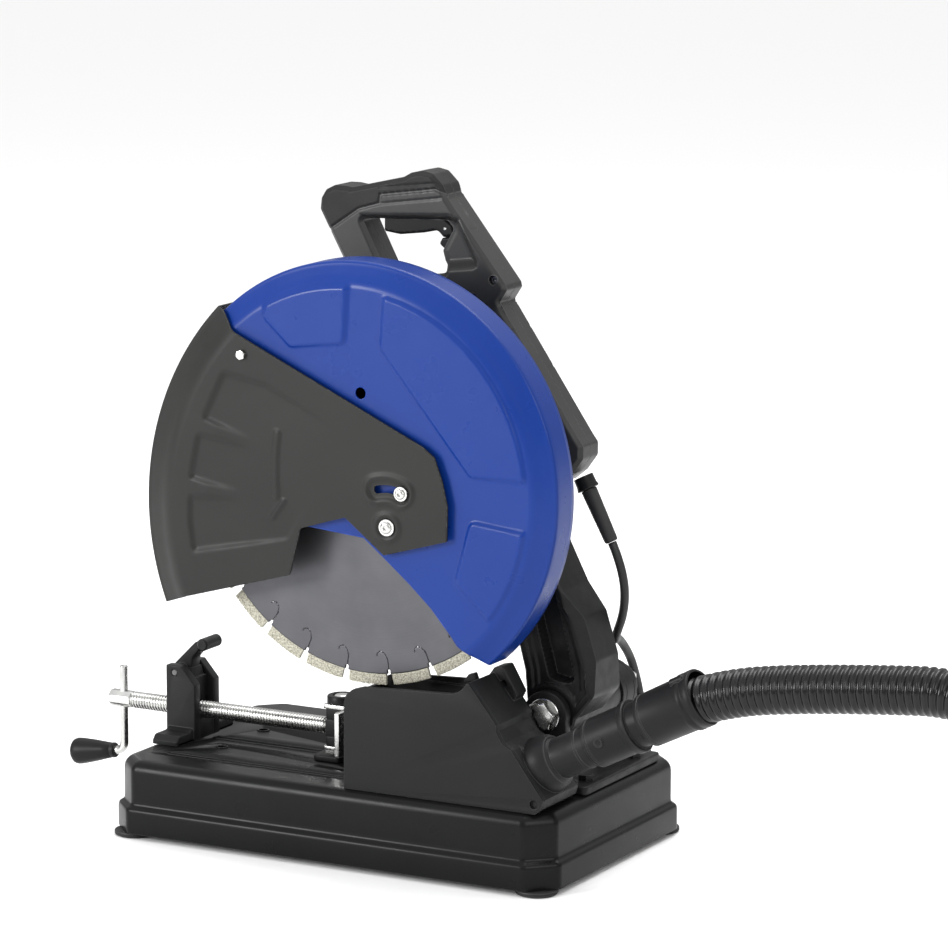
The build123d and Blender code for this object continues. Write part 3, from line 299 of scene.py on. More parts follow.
def turned_metal(name, dark, light, rough, centre):
    """Ground or turned steel with rings round an axis along Y."""
    shader = Shader(name)
    offset = shader.node("ShaderNodeVectorMath", operation="SUBTRACT")
    offset.inputs[1].default_value = (centre[0] * MM, 0, centre[1] * MM)
    shader.link(shader.coordinates, offset.inputs[0])
    flat = shader.node("ShaderNodeVectorMath", operation="MULTIPLY")
    flat.inputs[1].default_value = (1, 0, 1)
    shader.link(offset.outputs["Vector"], flat.inputs[0])
    length = shader.node("ShaderNodeVectorMath", operation="LENGTH")
    shader.link(flat.outputs["Vector"], length.inputs[0])
    rings = shader.node("ShaderNodeTexNoise", noise_dimensions="1D")
    rings.inputs["Scale"].default_value = 1400
    shader.link(length.outputs["Value"], rings.inputs["W"])
    cloud = shader.spread(shader.noise(22, 5), 0, 1)
    colour = shader.mix(cloud, dark, light)
    shader.bump(rings.outputs["Fac"], 0.00003, 0.5)
    roughness = shader.spread(rings.outputs["Fac"], rough * 0.8, rough * 1.25)
    return shader.finish(colour, roughness, 1.0)


def diamond_matrix(name):
    """Sintered diamond segment: pale rough grit with darker pits."""
    shader = Shader(name)
    grit = shader.spread(shader.noise(650, 5), 0, 1, 0.35, 0.65)
    colour = shader.mix(grit, (0.2, 0.19, 0.155), (0.56, 0.54, 0.44))
    voronoi = shader.node("ShaderNodeTexVoronoi", feature="F1")
    voronoi.inputs["Scale"].default_value = 1100
    shader.link(shader.coordinates, voronoi.inputs["Vector"])
    shader.bump(voronoi.outputs["Distance"], 0.0005, 0.7)
    shader.bump(shader.noise(400, 5), 0.0006, 0.5)
    return shader.finish(colour, 0.62, 0.25)


def rubber(name, dark, light, rough=0.6):
    """Soft rubber or flexible PVC with a fine skin."""
    shader = Shader(name)
    cloud = shader.spread(shader.noise(30), 0, 1)
    colour = shader.mix(cloud, dark, light)
    shader.bump(shader.noise(1200, 2), 0.00005, 0.4)
    roughness = shader.spread(shader.noise(50), rough * 0.85, rough * 1.15)
    return shader.finish(colour, roughness, 0, 0.4)


def make_materials():
    """Every finish of the saw, by name."""
    return {
        "pan": powder_coat("pan_coat", (0.004, 0.004, 0.0042), (0.006, 0.006, 0.0063), 0.3, 0.00004, 0.14),
        "blue": powder_coat("blue_coat", (0.003, 0.026, 0.185), (0.004, 0.03, 0.2), 0.3, 0.00002, 0.24),
        "front_guard": powder_coat("grey_coat", (0.015, 0.015, 0.0145), (0.019, 0.019, 0.018), 0.44, 0.00006, 0.2),
        "box_plate": powder_coat("plate_coat", (0.008, 0.008, 0.0082), (0.011, 0.011, 0.0115), 0.45, 0.00006, 0.16),
        "casting": cast_metal("cast_black", (0.008, 0.008, 0.0082), (0.012, 0.012, 0.0125), 0.46),
        "arm": cast_metal("arm_black", (0.006, 0.006, 0.0063), (0.009, 0.009, 0.0095), 0.4),
        "handle": moulded_plastic("handle_plastic", (0.022, 0.022, 0.0215), (0.028, 0.028, 0.0275), 0.4,
                                  specular=0.3),
        "grip": moulded_plastic("grip_plastic", (0.013, 0.013, 0.0128), (0.017, 0.017, 0.0168), 0.52, 700, 0.00012,
                                0.18),
        "plastic": moulded_plastic("black_plastic", (0.007, 0.007, 0.007), (0.010, 0.010, 0.010), 0.42,
                                   specular=0.16),
        "hose": moulded_plastic("hose_plastic", (0.006, 0.006, 0.006), (0.009, 0.009, 0.009), 0.22, specular=0.3),
        "rubber": rubber("black_rubber", (0.014, 0.014, 0.014), (0.02, 0.02, 0.02)),
        "cord": rubber("cord_rubber", (0.012, 0.012, 0.012), (0.018, 0.018, 0.018), 0.5),
        "zinc": plated_metal("zinc_plate", (0.5, 0.5, 0.49), (0.66, 0.66, 0.64), 0.24),
        "dark_steel": plated_metal("dark_steel", (0.1, 0.1, 0.1), (0.16, 0.16, 0.16), 0.38),
        "steel": plated_metal("machined_steel", (0.36, 0.36, 0.37), (0.46, 0.46, 0.47), 0.3),
        "copper": plated_metal("winding", (0.4, 0.17, 0.08), (0.55, 0.25, 0.12), 0.4),
        "blade": turned_metal("blade_steel", (0.085, 0.085, 0.093), (0.108, 0.108, 0.117), 0.42, SPINDLE),
        "diamond": diamond_matrix("diamond_segment"),
        "flange": turned_metal("flange_steel", (0.3, 0.3, 0.3), (0.4, 0.4, 0.4), 0.32, SPINDLE),
    }


# ------------------------------------------------------------------ mesh helpers

Y_AXIS = (0, 1, 0)


def new_object(name, mesh, material, body, slot=None, replaces=()):
    """Links a finished mesh or curve as a piece that rides on a body."""
    made = bpy.data.objects.new(name, mesh)
    bpy.context.scene.collection.objects.link(made)
    if material:
        made.data.materials.append(MATERIALS[material])
    if body:
        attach(made, body)
    if replaces:
        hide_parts(*replaces)
    return made


def ring_faces(rings, sides, wrap=False):
    """Faces between rings of points that follow one another; wrap also joins the last ring to the first."""
    faces = []
    for ring in range(rings if wrap else rings - 1):
        following = (ring + 1) % rings
        for n in range(sides):
            m = (n + 1) % sides
            faces.append((ring * sides + n, ring * sides + m, following * sides + m, following * sides + n))
    return faces


def end_faces(rings, sides):
    """The two flat ends of a stack of rings."""
    return [tuple(range(sides)), tuple(range((rings - 1) * sides, rings * sides))]


def built_mesh(name, vertices, faces, merge=0.0, outward=True):
    """A mesh from points in metres; merge is the distance in millimetres under which points become one."""
    mesh = bpy.data.meshes.new(name)
    mesh.from_pydata(vertices, [], faces)
    work = bmesh.new()
    work.from_mesh(mesh)
    if merge:
        bmesh.ops.remove_doubles(work, verts=work.verts, dist=merge * MM)
        bmesh.ops.dissolve_degenerate(work, edges=work.edges, dist=merge / 2 * MM)
    if outward:
        bmesh.ops.recalc_face_normals(work, faces=work.faces)
    work.to_mesh(mesh)
    work.free()
    return mesh


def filled_mesh(name, loops, **settings):
    """A mesh filled between closed outlines in millimetres; settings are those of the curve it is made from."""
    curve = bpy.data.curves.new(name, "CURVE")
    curve.dimensions = "2D"
    curve.fill_mode = "BOTH"
    for key, value in settings.items():
        setattr(curve, key, value)
    for loop in loops:
        spline = curve.splines.new("POLY")
        spline.points.add(len(loop) - 1)
        spline.use_cyclic_u = True
        for place, point in zip(spline.points, loop):
            place.co = (point[0] * MM, point[1] * MM, 0, 1)
    holder = bpy.data.objects.new(name, curve)
    mesh = bpy.data.meshes.new_from_object(holder)
    mesh.name = name
    bpy.data.objects.remove(holder)
    bpy.data.curves.remove(curve)
    return mesh


# ------------------------------------------------------------------ cords

def smooth_path(points, resolution=16):
    """Points in metres along a NURBS spline with these control points, given in millimetres."""
    curve = bpy.data.curves.new("path", "CURVE")
    curve.dimensions = "3D"
    spline = curve.splines.new("NURBS")
    spline.points.add(len(points) - 1)
    for place, point in zip(spline.points, points):
        place.co = (point[0] * MM, point[1] * MM, point[2] * MM, 1)
    spline.order_u = 3
    spline.use_endpoint_u = True
    spline.resolution_u = resolution
    holder = bpy.data.objects.new("path", curve)
    mesh = bpy.data.meshes.new_from_object(holder)
    path = [tuple(vertex.co) for vertex in mesh.vertices]
    bpy.data.objects.remove(holder)
    bpy.data.curves.remove(curve)
    bpy.data.meshes.remove(mesh)
    return np.array(path)


def even_path(path, step):
    """The same line, resampled at even steps."""
    lengths = np.concatenate([[0], np.cumsum(np.linalg.norm(np.diff(path, axis=0), axis=1))])
    count = max(2, int(round(lengths[-1] / step)) + 1)
    at = np.linspace(0, lengths[-1], count)
    return np.stack([np.interp(at, lengths, path[:, axis]) for axis in range(3)], axis=1), at


def tube_mesh(name, path, radii, sides=24):
    """A tube round a line with a radius for each of its points, closed at both ends."""
    tangents = np.gradient(path, axis=0)
    tangents /= np.linalg.norm(tangents, axis=1)[:, None]
    side = np.cross(tangents[0], (0.0, 0.0, 1.0))
    if np.linalg.norm(side) < 0.2:
        side = np.cross(tangents[0], (0.0, 1.0, 0.0))
    turn = np.linspace(0, 2 * pi, sides, endpoint=False)
    rows = []
    for place, tangent, radius in zip(path, tangents, radii):
        side = side - tangent * np.dot(side, tangent)
        side /= np.linalg.norm(side)
        up = np.cross(tangent, side)
        rows.append(place + radius * (np.cos(turn)[:, None] * side + np.sin(turn)[:, None] * up))
    vertices = np.concatenate(rows)
    faces = ring_faces(len(path), sides)
    faces.append(tuple(range(sides - 1, -1, -1)))
    faces.append(tuple(range((len(path) - 1) * sides, len(path) * sides)))
    mesh = bpy.data.meshes.new(name)
    mesh.from_pydata(vertices.tolist(), [], faces)
    mesh.shade_smooth()
    return mesh


def outlet_point(distance):
    """A point on the dust outlet's axis, in millimetres."""
    place = Vector(OUTLET) + OUTLET_AXIS * distance
    return (place.x, place.y, place.z)


HOSE_ROUTE = [
    outlet_point(120),
    outlet_point(170),
    (456, BLADE_Y, 206.3),
    (640, BLADE_Y, 222),
    (812, BLADE_Y, 21.6),
    (990, 40, 21.6),
    (900, 330, 21.6),
    (640, 330, 21.6),
    (552.5, 220.7, 24.2),
]
BOOT_START = Vector((178, HANDLE_Y, 338))
BOOT_AXIS = Vector((32, 0, -62)).normalized()
CORD_START = BOOT_START + BOOT_AXIS * 58.4
CORD_ROUTE = [
    tuple(CORD_START),
    (216, 22, 263),
    (215, 30, 226),
    (196, 44, 190),
    (177, 92, 186),
    (174, 137, 146),
    (176, 170, 30),
    (108, 206, 4.6),
    (31, 221.8, 4.6),
]
COIL_CENTRE = (10, 276)
RIB_PITCH = 7.2


def make_hose():
    """The ribbed vacuum hose, from the outlet cuff round to its own end cuff."""
    path, at = even_path(smooth_path(HOSE_ROUTE, 24), RIB_PITCH * MM / 8)
    phase = np.mod(at / (RIB_PITCH * MM), 1)
    rib = np.clip(1.25 * np.cos(2 * pi * phase) + 0.35, -1, 1)
    radii = (19.7 + 1.3 * rib) * MM
    mesh = tube_mesh("vacuum_hose", path, radii, 36)
    hose = new_object("vacuum_hose", mesh, "hose", "base", "hose_plastic", ["hose"])
    make_hose_end()


COIL_RADII = [56, 47.7, 39.4, 39.4, 47.7, 56]
PLUG_FACE = (-67, 262, 14.6)


def ramp(value, low, high):
    """0 below low, 1 above high and even between them."""
    return min(1, max(0, (value - low) / (high - low)))


def coil_points():
    """The put-away coil: three turns inwards on the floor, a climb, then three turns outwards on top."""
    start = atan2(CORD_ROUTE[-1][1] - COIL_CENTRE[1], CORD_ROUTE[-1][0] - COIL_CENTRE[0])
    per_turn = 16
    points = []
    for n in range(1, len(COIL_RADII) * per_turn + 2):
        turn = min(int(n / per_turn), len(COIL_RADII) - 1)
        share = n / per_turn - turn
        following = COIL_RADII[min(turn + 1, len(COIL_RADII) - 1)]
        move = ramp(share, 0.8, 1) if turn < 3 else ramp(share, 0.35, 0.55)
        radius = COIL_RADII[turn] + (following - COIL_RADII[turn]) * move
        height = 4.7 if turn < 2 else 12.9
        if turn == 2:
            height = 4.7 + 8.2 * ramp(share, 0.55, 0.8)
        angle = start - 2 * pi * n / per_turn
        points.append((COIL_CENTRE[0] + radius * cos(angle), COIL_CENTRE[1] + radius * sin(angle), height))
    return points


def make_cord():
    """The mains lead, from the boot down behind the arm to its coil and plug."""
    tail = [(-18, 227.5, 13.2), (-38, 246, 14), (-54, 260.5, 14.6), PLUG_FACE, (PLUG_FACE[0] - 4, *PLUG_FACE[1:])]
    path, at = even_path(smooth_path(CORD_ROUTE + coil_points() + tail, 8), 2.4 * MM)
    mesh = tube_mesh("mains_lead", path, np.full(len(path), 4 * MM), 16)
    lead = new_object("mains_lead", mesh, "cord", None, "cord_rubber", ["mains_cord", "cord_coil"])
    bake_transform(lead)


# ------------------------------------------------------------------ shapes in the X-Z plane

def polygon_distance(points, px, pz):
    """Signed distance from many points to a polygon in the X-Z plane: positive inside."""
    corners = np.array(points, float)
    nearest = np.full(px.shape, 1e9)
    inside = np.zeros(px.shape, bool)
    for first, second in zip(corners, np.roll(corners, -1, axis=0)):
        edge = second - first
        share = ((px - first[0]) * edge[0] + (pz - first[1]) * edge[1]) / max(edge @ edge, 1e-9)
        share = np.clip(share, 0, 1)
        nearest = np.minimum(nearest, np.hypot(px - first[0] - share * edge[0], pz - first[1] - share * edge[1]))
        crosses = (first[1] > pz) != (second[1] > pz)
        rise = edge[1] if abs(edge[1]) > 1e-9 else 1e-9
        inside ^= crosses & (px < first[0] + (pz - first[1]) * edge[0] / rise)
    return np.where(inside, nearest, -nearest)


def line_distance(points, px, pz):
    """Distance from many points to an open line in the X-Z plane."""
    corners = np.array(points, float)
    nearest = np.full(px.shape, 1e9)
    for first, second in zip(corners, corners[1:]):
        edge = second - first
        share = np.clip(((px - first[0]) * edge[0] + (pz - first[1]) * edge[1]) / max(edge @ edge, 1e-9), 0, 1)
        nearest = np.minimum(nearest, np.hypot(px - first[0] - share * edge[0], pz - first[1] - share * edge[1]))
    return nearest


def smooth_step(value, low, high):
    """0 below low, 1 above high, with a soft turn at both ends."""
    share = np.clip((value - low) / (high - low), 0, 1)
    return share * share * (3 - 2 * share)


def arc(centre, radius, start, stop, steps=16):
    """Points along an arc in the X-Z plane, from one angle in degrees to another."""
    angles = [radians(start + (stop - start) * n / steps) for n in range(steps + 1)]
    return [(centre[0] + radius * cos(angle), centre[1] + radius * sin(angle)) for angle in angles]


def rounded(points, radius, steps=5):
    """A polygon with its corners rounded, as many points; radius is a number or one for each corner."""
    result = []
    count = len(points)
    for n, corner in enumerate(points):
        size = radius[n] if isinstance(radius, (list, tuple)) else radius
        here = Vector(corner)
        before = Vector(points[n - 1]) - here
        after = Vector(points[(n + 1) % count]) - here
        if size <= 0:
            result.append(tuple(here))
            continue
        half = before.angle(after) / 2
        cut = min(size / max(math.tan(half), 0.05), before.length * 0.48, after.length * 0.48)
        start = here + before.normalized() * cut
        end = here + after.normalized() * cut
        for k in range(steps + 1):
            t = k / steps
            result.append(tuple((1 - t) ** 2 * start + 2 * t * (1 - t) * here + t * t * end))
    return result


def clipped(vertices, faces, value):
    """Cuts a mesh where a value given for each vertex falls below zero, and keeps the positive side."""
    points = [tuple(v) for v in vertices]
    cuts = {}
    kept = []
    for face in faces:
        signs = [value[i] >= 0 for i in face]
        if all(signs):
            kept.append(tuple(face))
            continue
        if not any(signs):
            continue
        loop = []
        for n, here in enumerate(face):
            after = face[(n + 1) % len(face)]
            if signs[n]:
                loop.append(here)
            if signs[n] != signs[(n + 1) % len(face)]:
                key = (min(here, after), max(here, after))
                if key not in cuts:
                    share = value[here] / (value[here] - value[after])
                    cuts[key] = len(points)
                    points.append(tuple(np.array(points[here]) * (1 - share) + np.array(points[after]) * share))
                loop.append(cuts[key])
        if len(loop) > 2:
            kept.append(tuple(loop))
    used = sorted({i for face in kept for i in face})
    place = {old: new for new, old in enumerate(used)}
    return np.array([points[i] for i in used]), [tuple(place[i] for i in face) for face in kept]


def flat_solid(name, outline, low, high, bevel=1.0, holes=(), axis="Y"):
    """A flat piece with rounded edges: an outline with holes, extruded along an axis from low to high.

    Outlines are in the X-Z plane for axis Y, X-Y for axis Z and Y-Z for axis X.
    """
    mesh = filled_mesh(name, (outline, *holes), extrude=(high - low) / 2 * MM - bevel * MM, bevel_depth=bevel * MM,
                       bevel_resolution=2, offset=-bevel * MM)
    middle = (low + high) / 2 * MM
    if axis == "Y":
        turn = Matrix(((1, 0, 0, 0), (0, 0, 1, middle), (0, 1, 0, 0), (0, 0, 0, 1)))
    elif axis == "Z":
        turn = Matrix.Translation((0, 0, middle))
    else:
        turn = Matrix(((0, 0, 1, middle), (1, 0, 0, 0), (0, 1, 0, 0), (0, 0, 0, 1)))
    mesh.transform(turn)
    work = bmesh.new()
    work.from_mesh(mesh)
    bmesh.ops.remove_doubles(work, verts=work.verts, dist=0.005 * MM)
    bmesh.ops.recalc_face_normals(work, faces=work.faces)
    work.to_mesh(mesh)
    work.free()
    return mesh


def turned(name, profile, origin, direction, sides=64, close=True):
    """A turned piece: (distance, radius) points spun round an axis from an origin, in millimetres."""
    direction = Vector(direction).normalized()
    side = direction.orthogonal().normalized()
    up = direction.cross(side)
    vertices = []
    for distance, radius in profile:
        for n in range(sides):
            angle = 2 * pi * n / sides
            place = Vector(origin) + direction * distance + (side * cos(angle) + up * sin(angle)) * radius
            vertices.append(tuple(place * MM))
    return built_mesh(name, vertices, ring_faces(len(profile), sides, close), 0.002)


def joined(name, meshes):
    """Several meshes as one."""
    work = bmesh.new()
    for mesh in meshes:
        work.from_mesh(mesh)
        bpy.data.meshes.remove(mesh)
    mesh = bpy.data.meshes.new(name)
    work.to_mesh(mesh)
    work.free()
    return mesh


def circle(centre, radius, steps=32):
    """Points round a circle."""
    return [(centre[0] + radius * cos(2 * pi * n / steps), centre[1] + radius * sin(2 * pi * n / steps))
            for n in range(steps)]


# ------------------------------------------------------------------ guards

def drum_grid(centre, profile, turns=480):
    """A round sheet about a centre: (radius, y) points of its section, spun round the Y axis.

    Faces look towards -Y on the flat and outwards on the rim.
    """
    vertices = []
    for radius, depth in profile:
        for n in range(turns):
            angle = 2 * pi * n / turns
            vertices.append((centre[0] + radius * cos(angle), depth, centre[1] + radius * sin(angle)))
    faces = []
    for ring in range(len(profile) - 1):
        for n in range(turns):
            m = (n + 1) % turns
            faces.append((ring * turns + n, (ring + 1) * turns + n, (ring + 1) * turns + m, ring * turns + m))
    return np.array(vertices), faces


def guard_profile(face_radius, face, cone, radius, edge, back, step):
    """The section of a pressed guard: a flat face, a wide cone, a tight edge and a straight rim.

    cone is the (radius, y) where the cone ends, and edge the y where the rim starts.
    """
    profile = [(max(0.5, face_radius * n / step), face) for n in range(step + 1)]
    for n in range(1, 9):
        share = n / 8
        soft = 0.16 * sin(pi * min(share * 2.2, 1)) if share < 0.45 else 0
        profile.append((face_radius + (cone[0] - face_radius) * share,
                        face + (cone[1] - face) * (share - soft * 0.4)))
    for n in range(1, 6):
        turn = pi / 2 * n / 5
        profile.append((cone[0] + (radius - cone[0]) * sin(turn), cone[1] + (edge - cone[1]) * (1 - cos(turn))))
    for n in range(1, 7):
        profile.append((radius, edge + (back - edge) * n / 6))
    return profile


def thicken(made, thickness):
    """Gives a sheet its thickness, in millimetres, on its inner side."""
    solid = made.modifiers.new("sheet", "SOLIDIFY")
    solid.thickness = thickness * MM
    solid.offset = -1


def sheet_piece(name, vertices, faces, thickness, material, body, slot, nodes):
    """A pressed sheet as a piece, thickened away from its outer face."""
    mesh = built_mesh(name, (np.array(vertices) * MM).tolist(), faces, 0.02, False)
    made = new_object(name, mesh, material, body, slot, nodes)
    thicken(made, thickness)
    mesh.shade_smooth()


GUARD_LOWER = [(-176, 300), (-60, 306), (33, 298), (52, 283), (79, 261), (100, 242), (120, 219), (126, 211),
               (152, 195)]


def guard_angle(point):
    """The angle of a point about the upper guard's centre, in degrees."""
    return degrees(atan2(point[1] - GUARD_CENTRE[1], point[0] - GUARD_CENTRE[0]))


def upper_guard_panels():
    """The three raised panels, each bounded outside by an arc along the rim."""
    left = arc(GUARD_CENTRE, 177, guard_angle((-67, 500)), guard_angle((18, 523)), 10)
    middle = arc(GUARD_CENTRE, 174, guard_angle((54, 516)), guard_angle((191, 361)), 12)
    right = arc(GUARD_CENTRE, 174, guard_angle((189, 318)), guard_angle((157, 237)), 10)
    return [
        rounded(left + [(15, 468), (-40, 461), (-68, 486)], [2] * 11 + [7, 7, 7], 4),
        rounded(middle + [(139, 361), (50, 467)], [2] * 13 + [7, 7], 4),
        rounded(right + [(124, 268), (139, 323)], [2] * 11 + [7, 7], 4),
    ]


def make_upper_guard():
    """The blue pressed guard over the blade, with three raised panels and a wide cone at its rim."""
    vertices, faces = drum_grid(GUARD_CENTRE, guard_profile(176, -120, (195.4, -110.6), 198, -107, -79, 116))
    px, pz = vertices[:, 0], vertices[:, 2]
    flat = vertices[:, 1] < -119.9
    rise = np.zeros(len(vertices))
    for panel in upper_guard_panels():
        rise = np.maximum(rise, smooth_step(polygon_distance(panel, px, pz), -1, 2))
    vertices[:, 1] -= np.where(flat, 2.8 * rise, 0)
    stop = guard_angle(GUARD_LOWER[0]) + 360
    keep = GUARD_LOWER + arc(GUARD_CENTRE, 260, guard_angle(GUARD_LOWER[-1]), stop, 90)
    vertices, faces = clipped(vertices, faces, polygon_distance(keep, px, pz))
    hole = np.hypot(vertices[:, 0] - 30, vertices[:, 2] - 426) - 5.2
    vertices, faces = clipped(vertices, faces, hole)
    sheet_piece("blue_guard", vertices, faces, 1.6, "blue", "head", "blue_paint", ["upper_guard"])


SLOT_SCREW = (74, 342)
RIM_BOLT = (-86, 452)
FRONT_OUTLINE = [(-118, 490), (-112, 488), (-98, 473), (96, 385), (107, 377), (115, 356), (120, 335), (119.5, 304),
                 (57, 286), (18, 316), (-27, 302), (-38, 259), (-144, 229), (-212, 205)]
FRONT_PANEL = [(-106, 436), (-96, 434), (-61, 428), (22, 389), (-2, 352), (-26, 312), (-40, 290), (-127, 272),
               (-139, 269), (-143, 299), (-142, 336), (-132, 384)]


def rib_height(px, pz, start, end, width_start, width_end):
    """A raised wedge that fades out from its thick end to its tip."""
    along = Vector((end[0] - start[0], end[1] - start[1]))
    length = along.length
    along.normalize()
    share = np.clip(((px - start[0]) * along.x + (pz - start[1]) * along.y) / length, 0, 1)
    across = np.abs((px - start[0]) * along.y - (pz - start[1]) * along.x)
    inside = ((px - start[0]) * along.x + (pz - start[1]) * along.y) > -8
    beyond = ((px - start[0]) * along.x + (pz - start[1]) * along.y) < length
    width = width_start + (width_end - width_start) * share
    return (1 - smooth_step(across, width - 3, width + 2)) * (1 - share) * inside * beyond


def make_front_guard():
    """The grey swinging guard: a sunk panel with two wedge ribs, a rotation arrow and a slot with a lip."""
    profile = guard_profile(220, -127, (251.6, -113), 254, -110.4, -82, 110)
    vertices, faces = drum_grid(FRONT_GUARD_PIVOT, profile, 560)
    px, pz = vertices[:, 0], vertices[:, 2]
    flat = vertices[:, 1] < -126.9
    inside = polygon_distance(rounded(FRONT_PANEL, 8, 4), px, pz)
    fade = smooth_step(np.hypot(px - 30, pz - 345), 45, 150)
    sink = smooth_step(inside, -1, 4) * fade * 2.2
    for start, end in (((-134, 386), (-78, 373)), ((-143, 329), (-90, 325))):
        sink -= 3.4 * fade * rib_height(px, pz, start, end, 8.5, 5)
    sink = np.maximum(sink, 0)
    arrow = line_distance(arc((168, 352), 221, 171.5, 186, 8), px, pz)
    barb = line_distance([(-44, 325), (-56, 309)], px, pz)
    sink -= 1.3 * (1 - smooth_step(np.minimum(arrow - 2.2, barb - 1.0), 0, 2.2))
    across, up = SLOT_SCREW[0] - FRONT_GUARD_PIVOT[0], SLOT_SCREW[1] - FRONT_GUARD_PIVOT[1]
    slot_start = degrees(atan2(up, across))
    slot_line = arc(FRONT_GUARD_PIVOT, hypot(across, up), slot_start, slot_start + 41, 12)
    slot_distance = line_distance(slot_line, px, pz)
    pivot_distance = np.hypot(px - FRONT_GUARD_PIVOT[0], pz - FRONT_GUARD_PIVOT[1])
    for distance, lip in ((slot_distance, 9.5), (pivot_distance, 9.5)):
        sink -= 1.7 * np.exp(-((distance - lip - 1.5) / 2.2) ** 2)
        sink += 0.8 * (1 - smooth_step(distance, lip - 2.5, lip))
    vertices[:, 1] += np.where(flat, np.minimum(sink, 2.2), 0)
    rim = arc(FRONT_GUARD_PIVOT, 290, 201.5, 136, 40)
    vertices, faces = clipped(vertices, faces, polygon_distance(FRONT_OUTLINE + rim, px, pz))
    slot_gap = line_distance(slot_line, vertices[:, 0], vertices[:, 2]) - 3.5
    vertices, faces = clipped(vertices, faces, slot_gap)
    hole = np.hypot(vertices[:, 0] - FRONT_GUARD_PIVOT[0], vertices[:, 2] - FRONT_GUARD_PIVOT[1]) - 4.1
    vertices, faces = clipped(vertices, faces, hole)
    sheet_piece("swing_guard", vertices, faces, 1.6, "front_guard", "front_guard", "grey_coated_steel",
                ["front_guard"])


# ------------------------------------------------------------------ shared makers

def piece(name, mesh, material, body, slot, nodes=(), angle=35):
    """A closed mesh, or several as one, as a piece with soft shading up to an angle."""
    if isinstance(mesh, list):
        mesh = joined(name, mesh)
    made = new_object(name, mesh, material, body, slot, nodes)
    mesh.shade_smooth()
    mesh.set_sharp_from_angle(angle=radians(angle))
    return made


def box_mesh(name, low, high, bevel):
    """A block with rounded edges, given by its two corners."""
    outline = [(low[0], low[2]), (high[0], low[2]), (high[0], high[2]), (low[0], high[2])]
    return flat_solid(name, rounded(outline, bevel, 3), low[1], high[1], bevel)


def hex_head(name, centre, across, low, high, turn=0):
    """A hexagon head whose corners are turned off towards its low end."""
    corner = across / math.sqrt(3)
    crown = across * 0.48
    levels = [0, 0.3, 0.6, 0.9, 1.2, (corner - crown) / 1.73 + 0.05]
    levels = sorted(level for level in levels if level < high - low) + [high - low]
    count = 72
    vertices = []
    for level in levels:
        for n in range(count):
            angle = radians(turn) + 2 * pi * n / count
            folded = (2 * pi * n / count) % (pi / 3) - pi / 6
            reach = min(across / 2 / cos(folded), crown + level * 1.73)
            u = centre[0] + reach * cos(angle)
            v = centre[1] + reach * sin(angle)
            vertices.append((u, low + level, v))
    faces = end_faces(len(levels), count) + ring_faces(len(levels), count)
    return built_mesh(name, (np.array(vertices) * MM).tolist(), faces)


def disc(name, centre, radius, low, high, edge=0.6, bore=0.0, sides=64):
    """A washer, pin or plug with broken edges, along Y."""
    profile = [(0, radius - edge), (edge, radius), (high - low - edge, radius), (high - low, radius - edge)]
    if bore > 0:
        profile = [(0, bore)] + profile + [(high - low, bore)]
    else:
        profile = [(0, 0.01)] + profile + [(high - low, 0.01)]
    return turned(name, profile, (centre[0], low, centre[1]), Y_AXIS, sides)


# ------------------------------------------------------------------ base

def pan_ring(outset, corner=22):
    """The base's outline, with cut and softened corners, grown by an outset."""
    half_x = 222 + outset
    half_y = 136 + outset
    cut = corner + outset * 0.4
    points = [(half_x - cut, -half_y), (half_x, -half_y + cut), (half_x, half_y - cut), (half_x - cut, half_y),
              (-half_x + cut, half_y), (-half_x, half_y - cut), (-half_x, -half_y + cut), (-half_x + cut, -half_y)]
    return rounded(points, 9, 4)


BLADE_SLOT = [(-188, -97), (100, -97), (100, -91), (-188, -91)]
GUIDE_SLOT = [(-182, -24), (15, -24), (15, -16), (-182, -16)]


def lip(name, outline, height, radius):
    """A small rolled lip that follows a closed outline on the deck."""
    path = [Vector((*point, height)) for point in outline]
    count = len(path)
    vertices = []
    sides = 8
    for n, here in enumerate(path):
        along = (path[(n + 1) % count] - path[n - 1]).normalized()
        out = Vector((along.y, -along.x, 0))
        for k in range(sides):
            angle = 2 * pi * k / sides
            vertices.append(tuple((here + out * radius * cos(angle) + Vector((0, 0, radius * sin(angle)))) * MM))
    faces = []
    for n in range(count):
        m = (n + 1) % count
        for k in range(sides):
            j = (k + 1) % sides
            faces.append((n * sides + k, m * sides + k, m * sides + j, n * sides + j))
    mesh = bpy.data.meshes.new(name)
    mesh.from_pydata(vertices, [], faces)
    return mesh


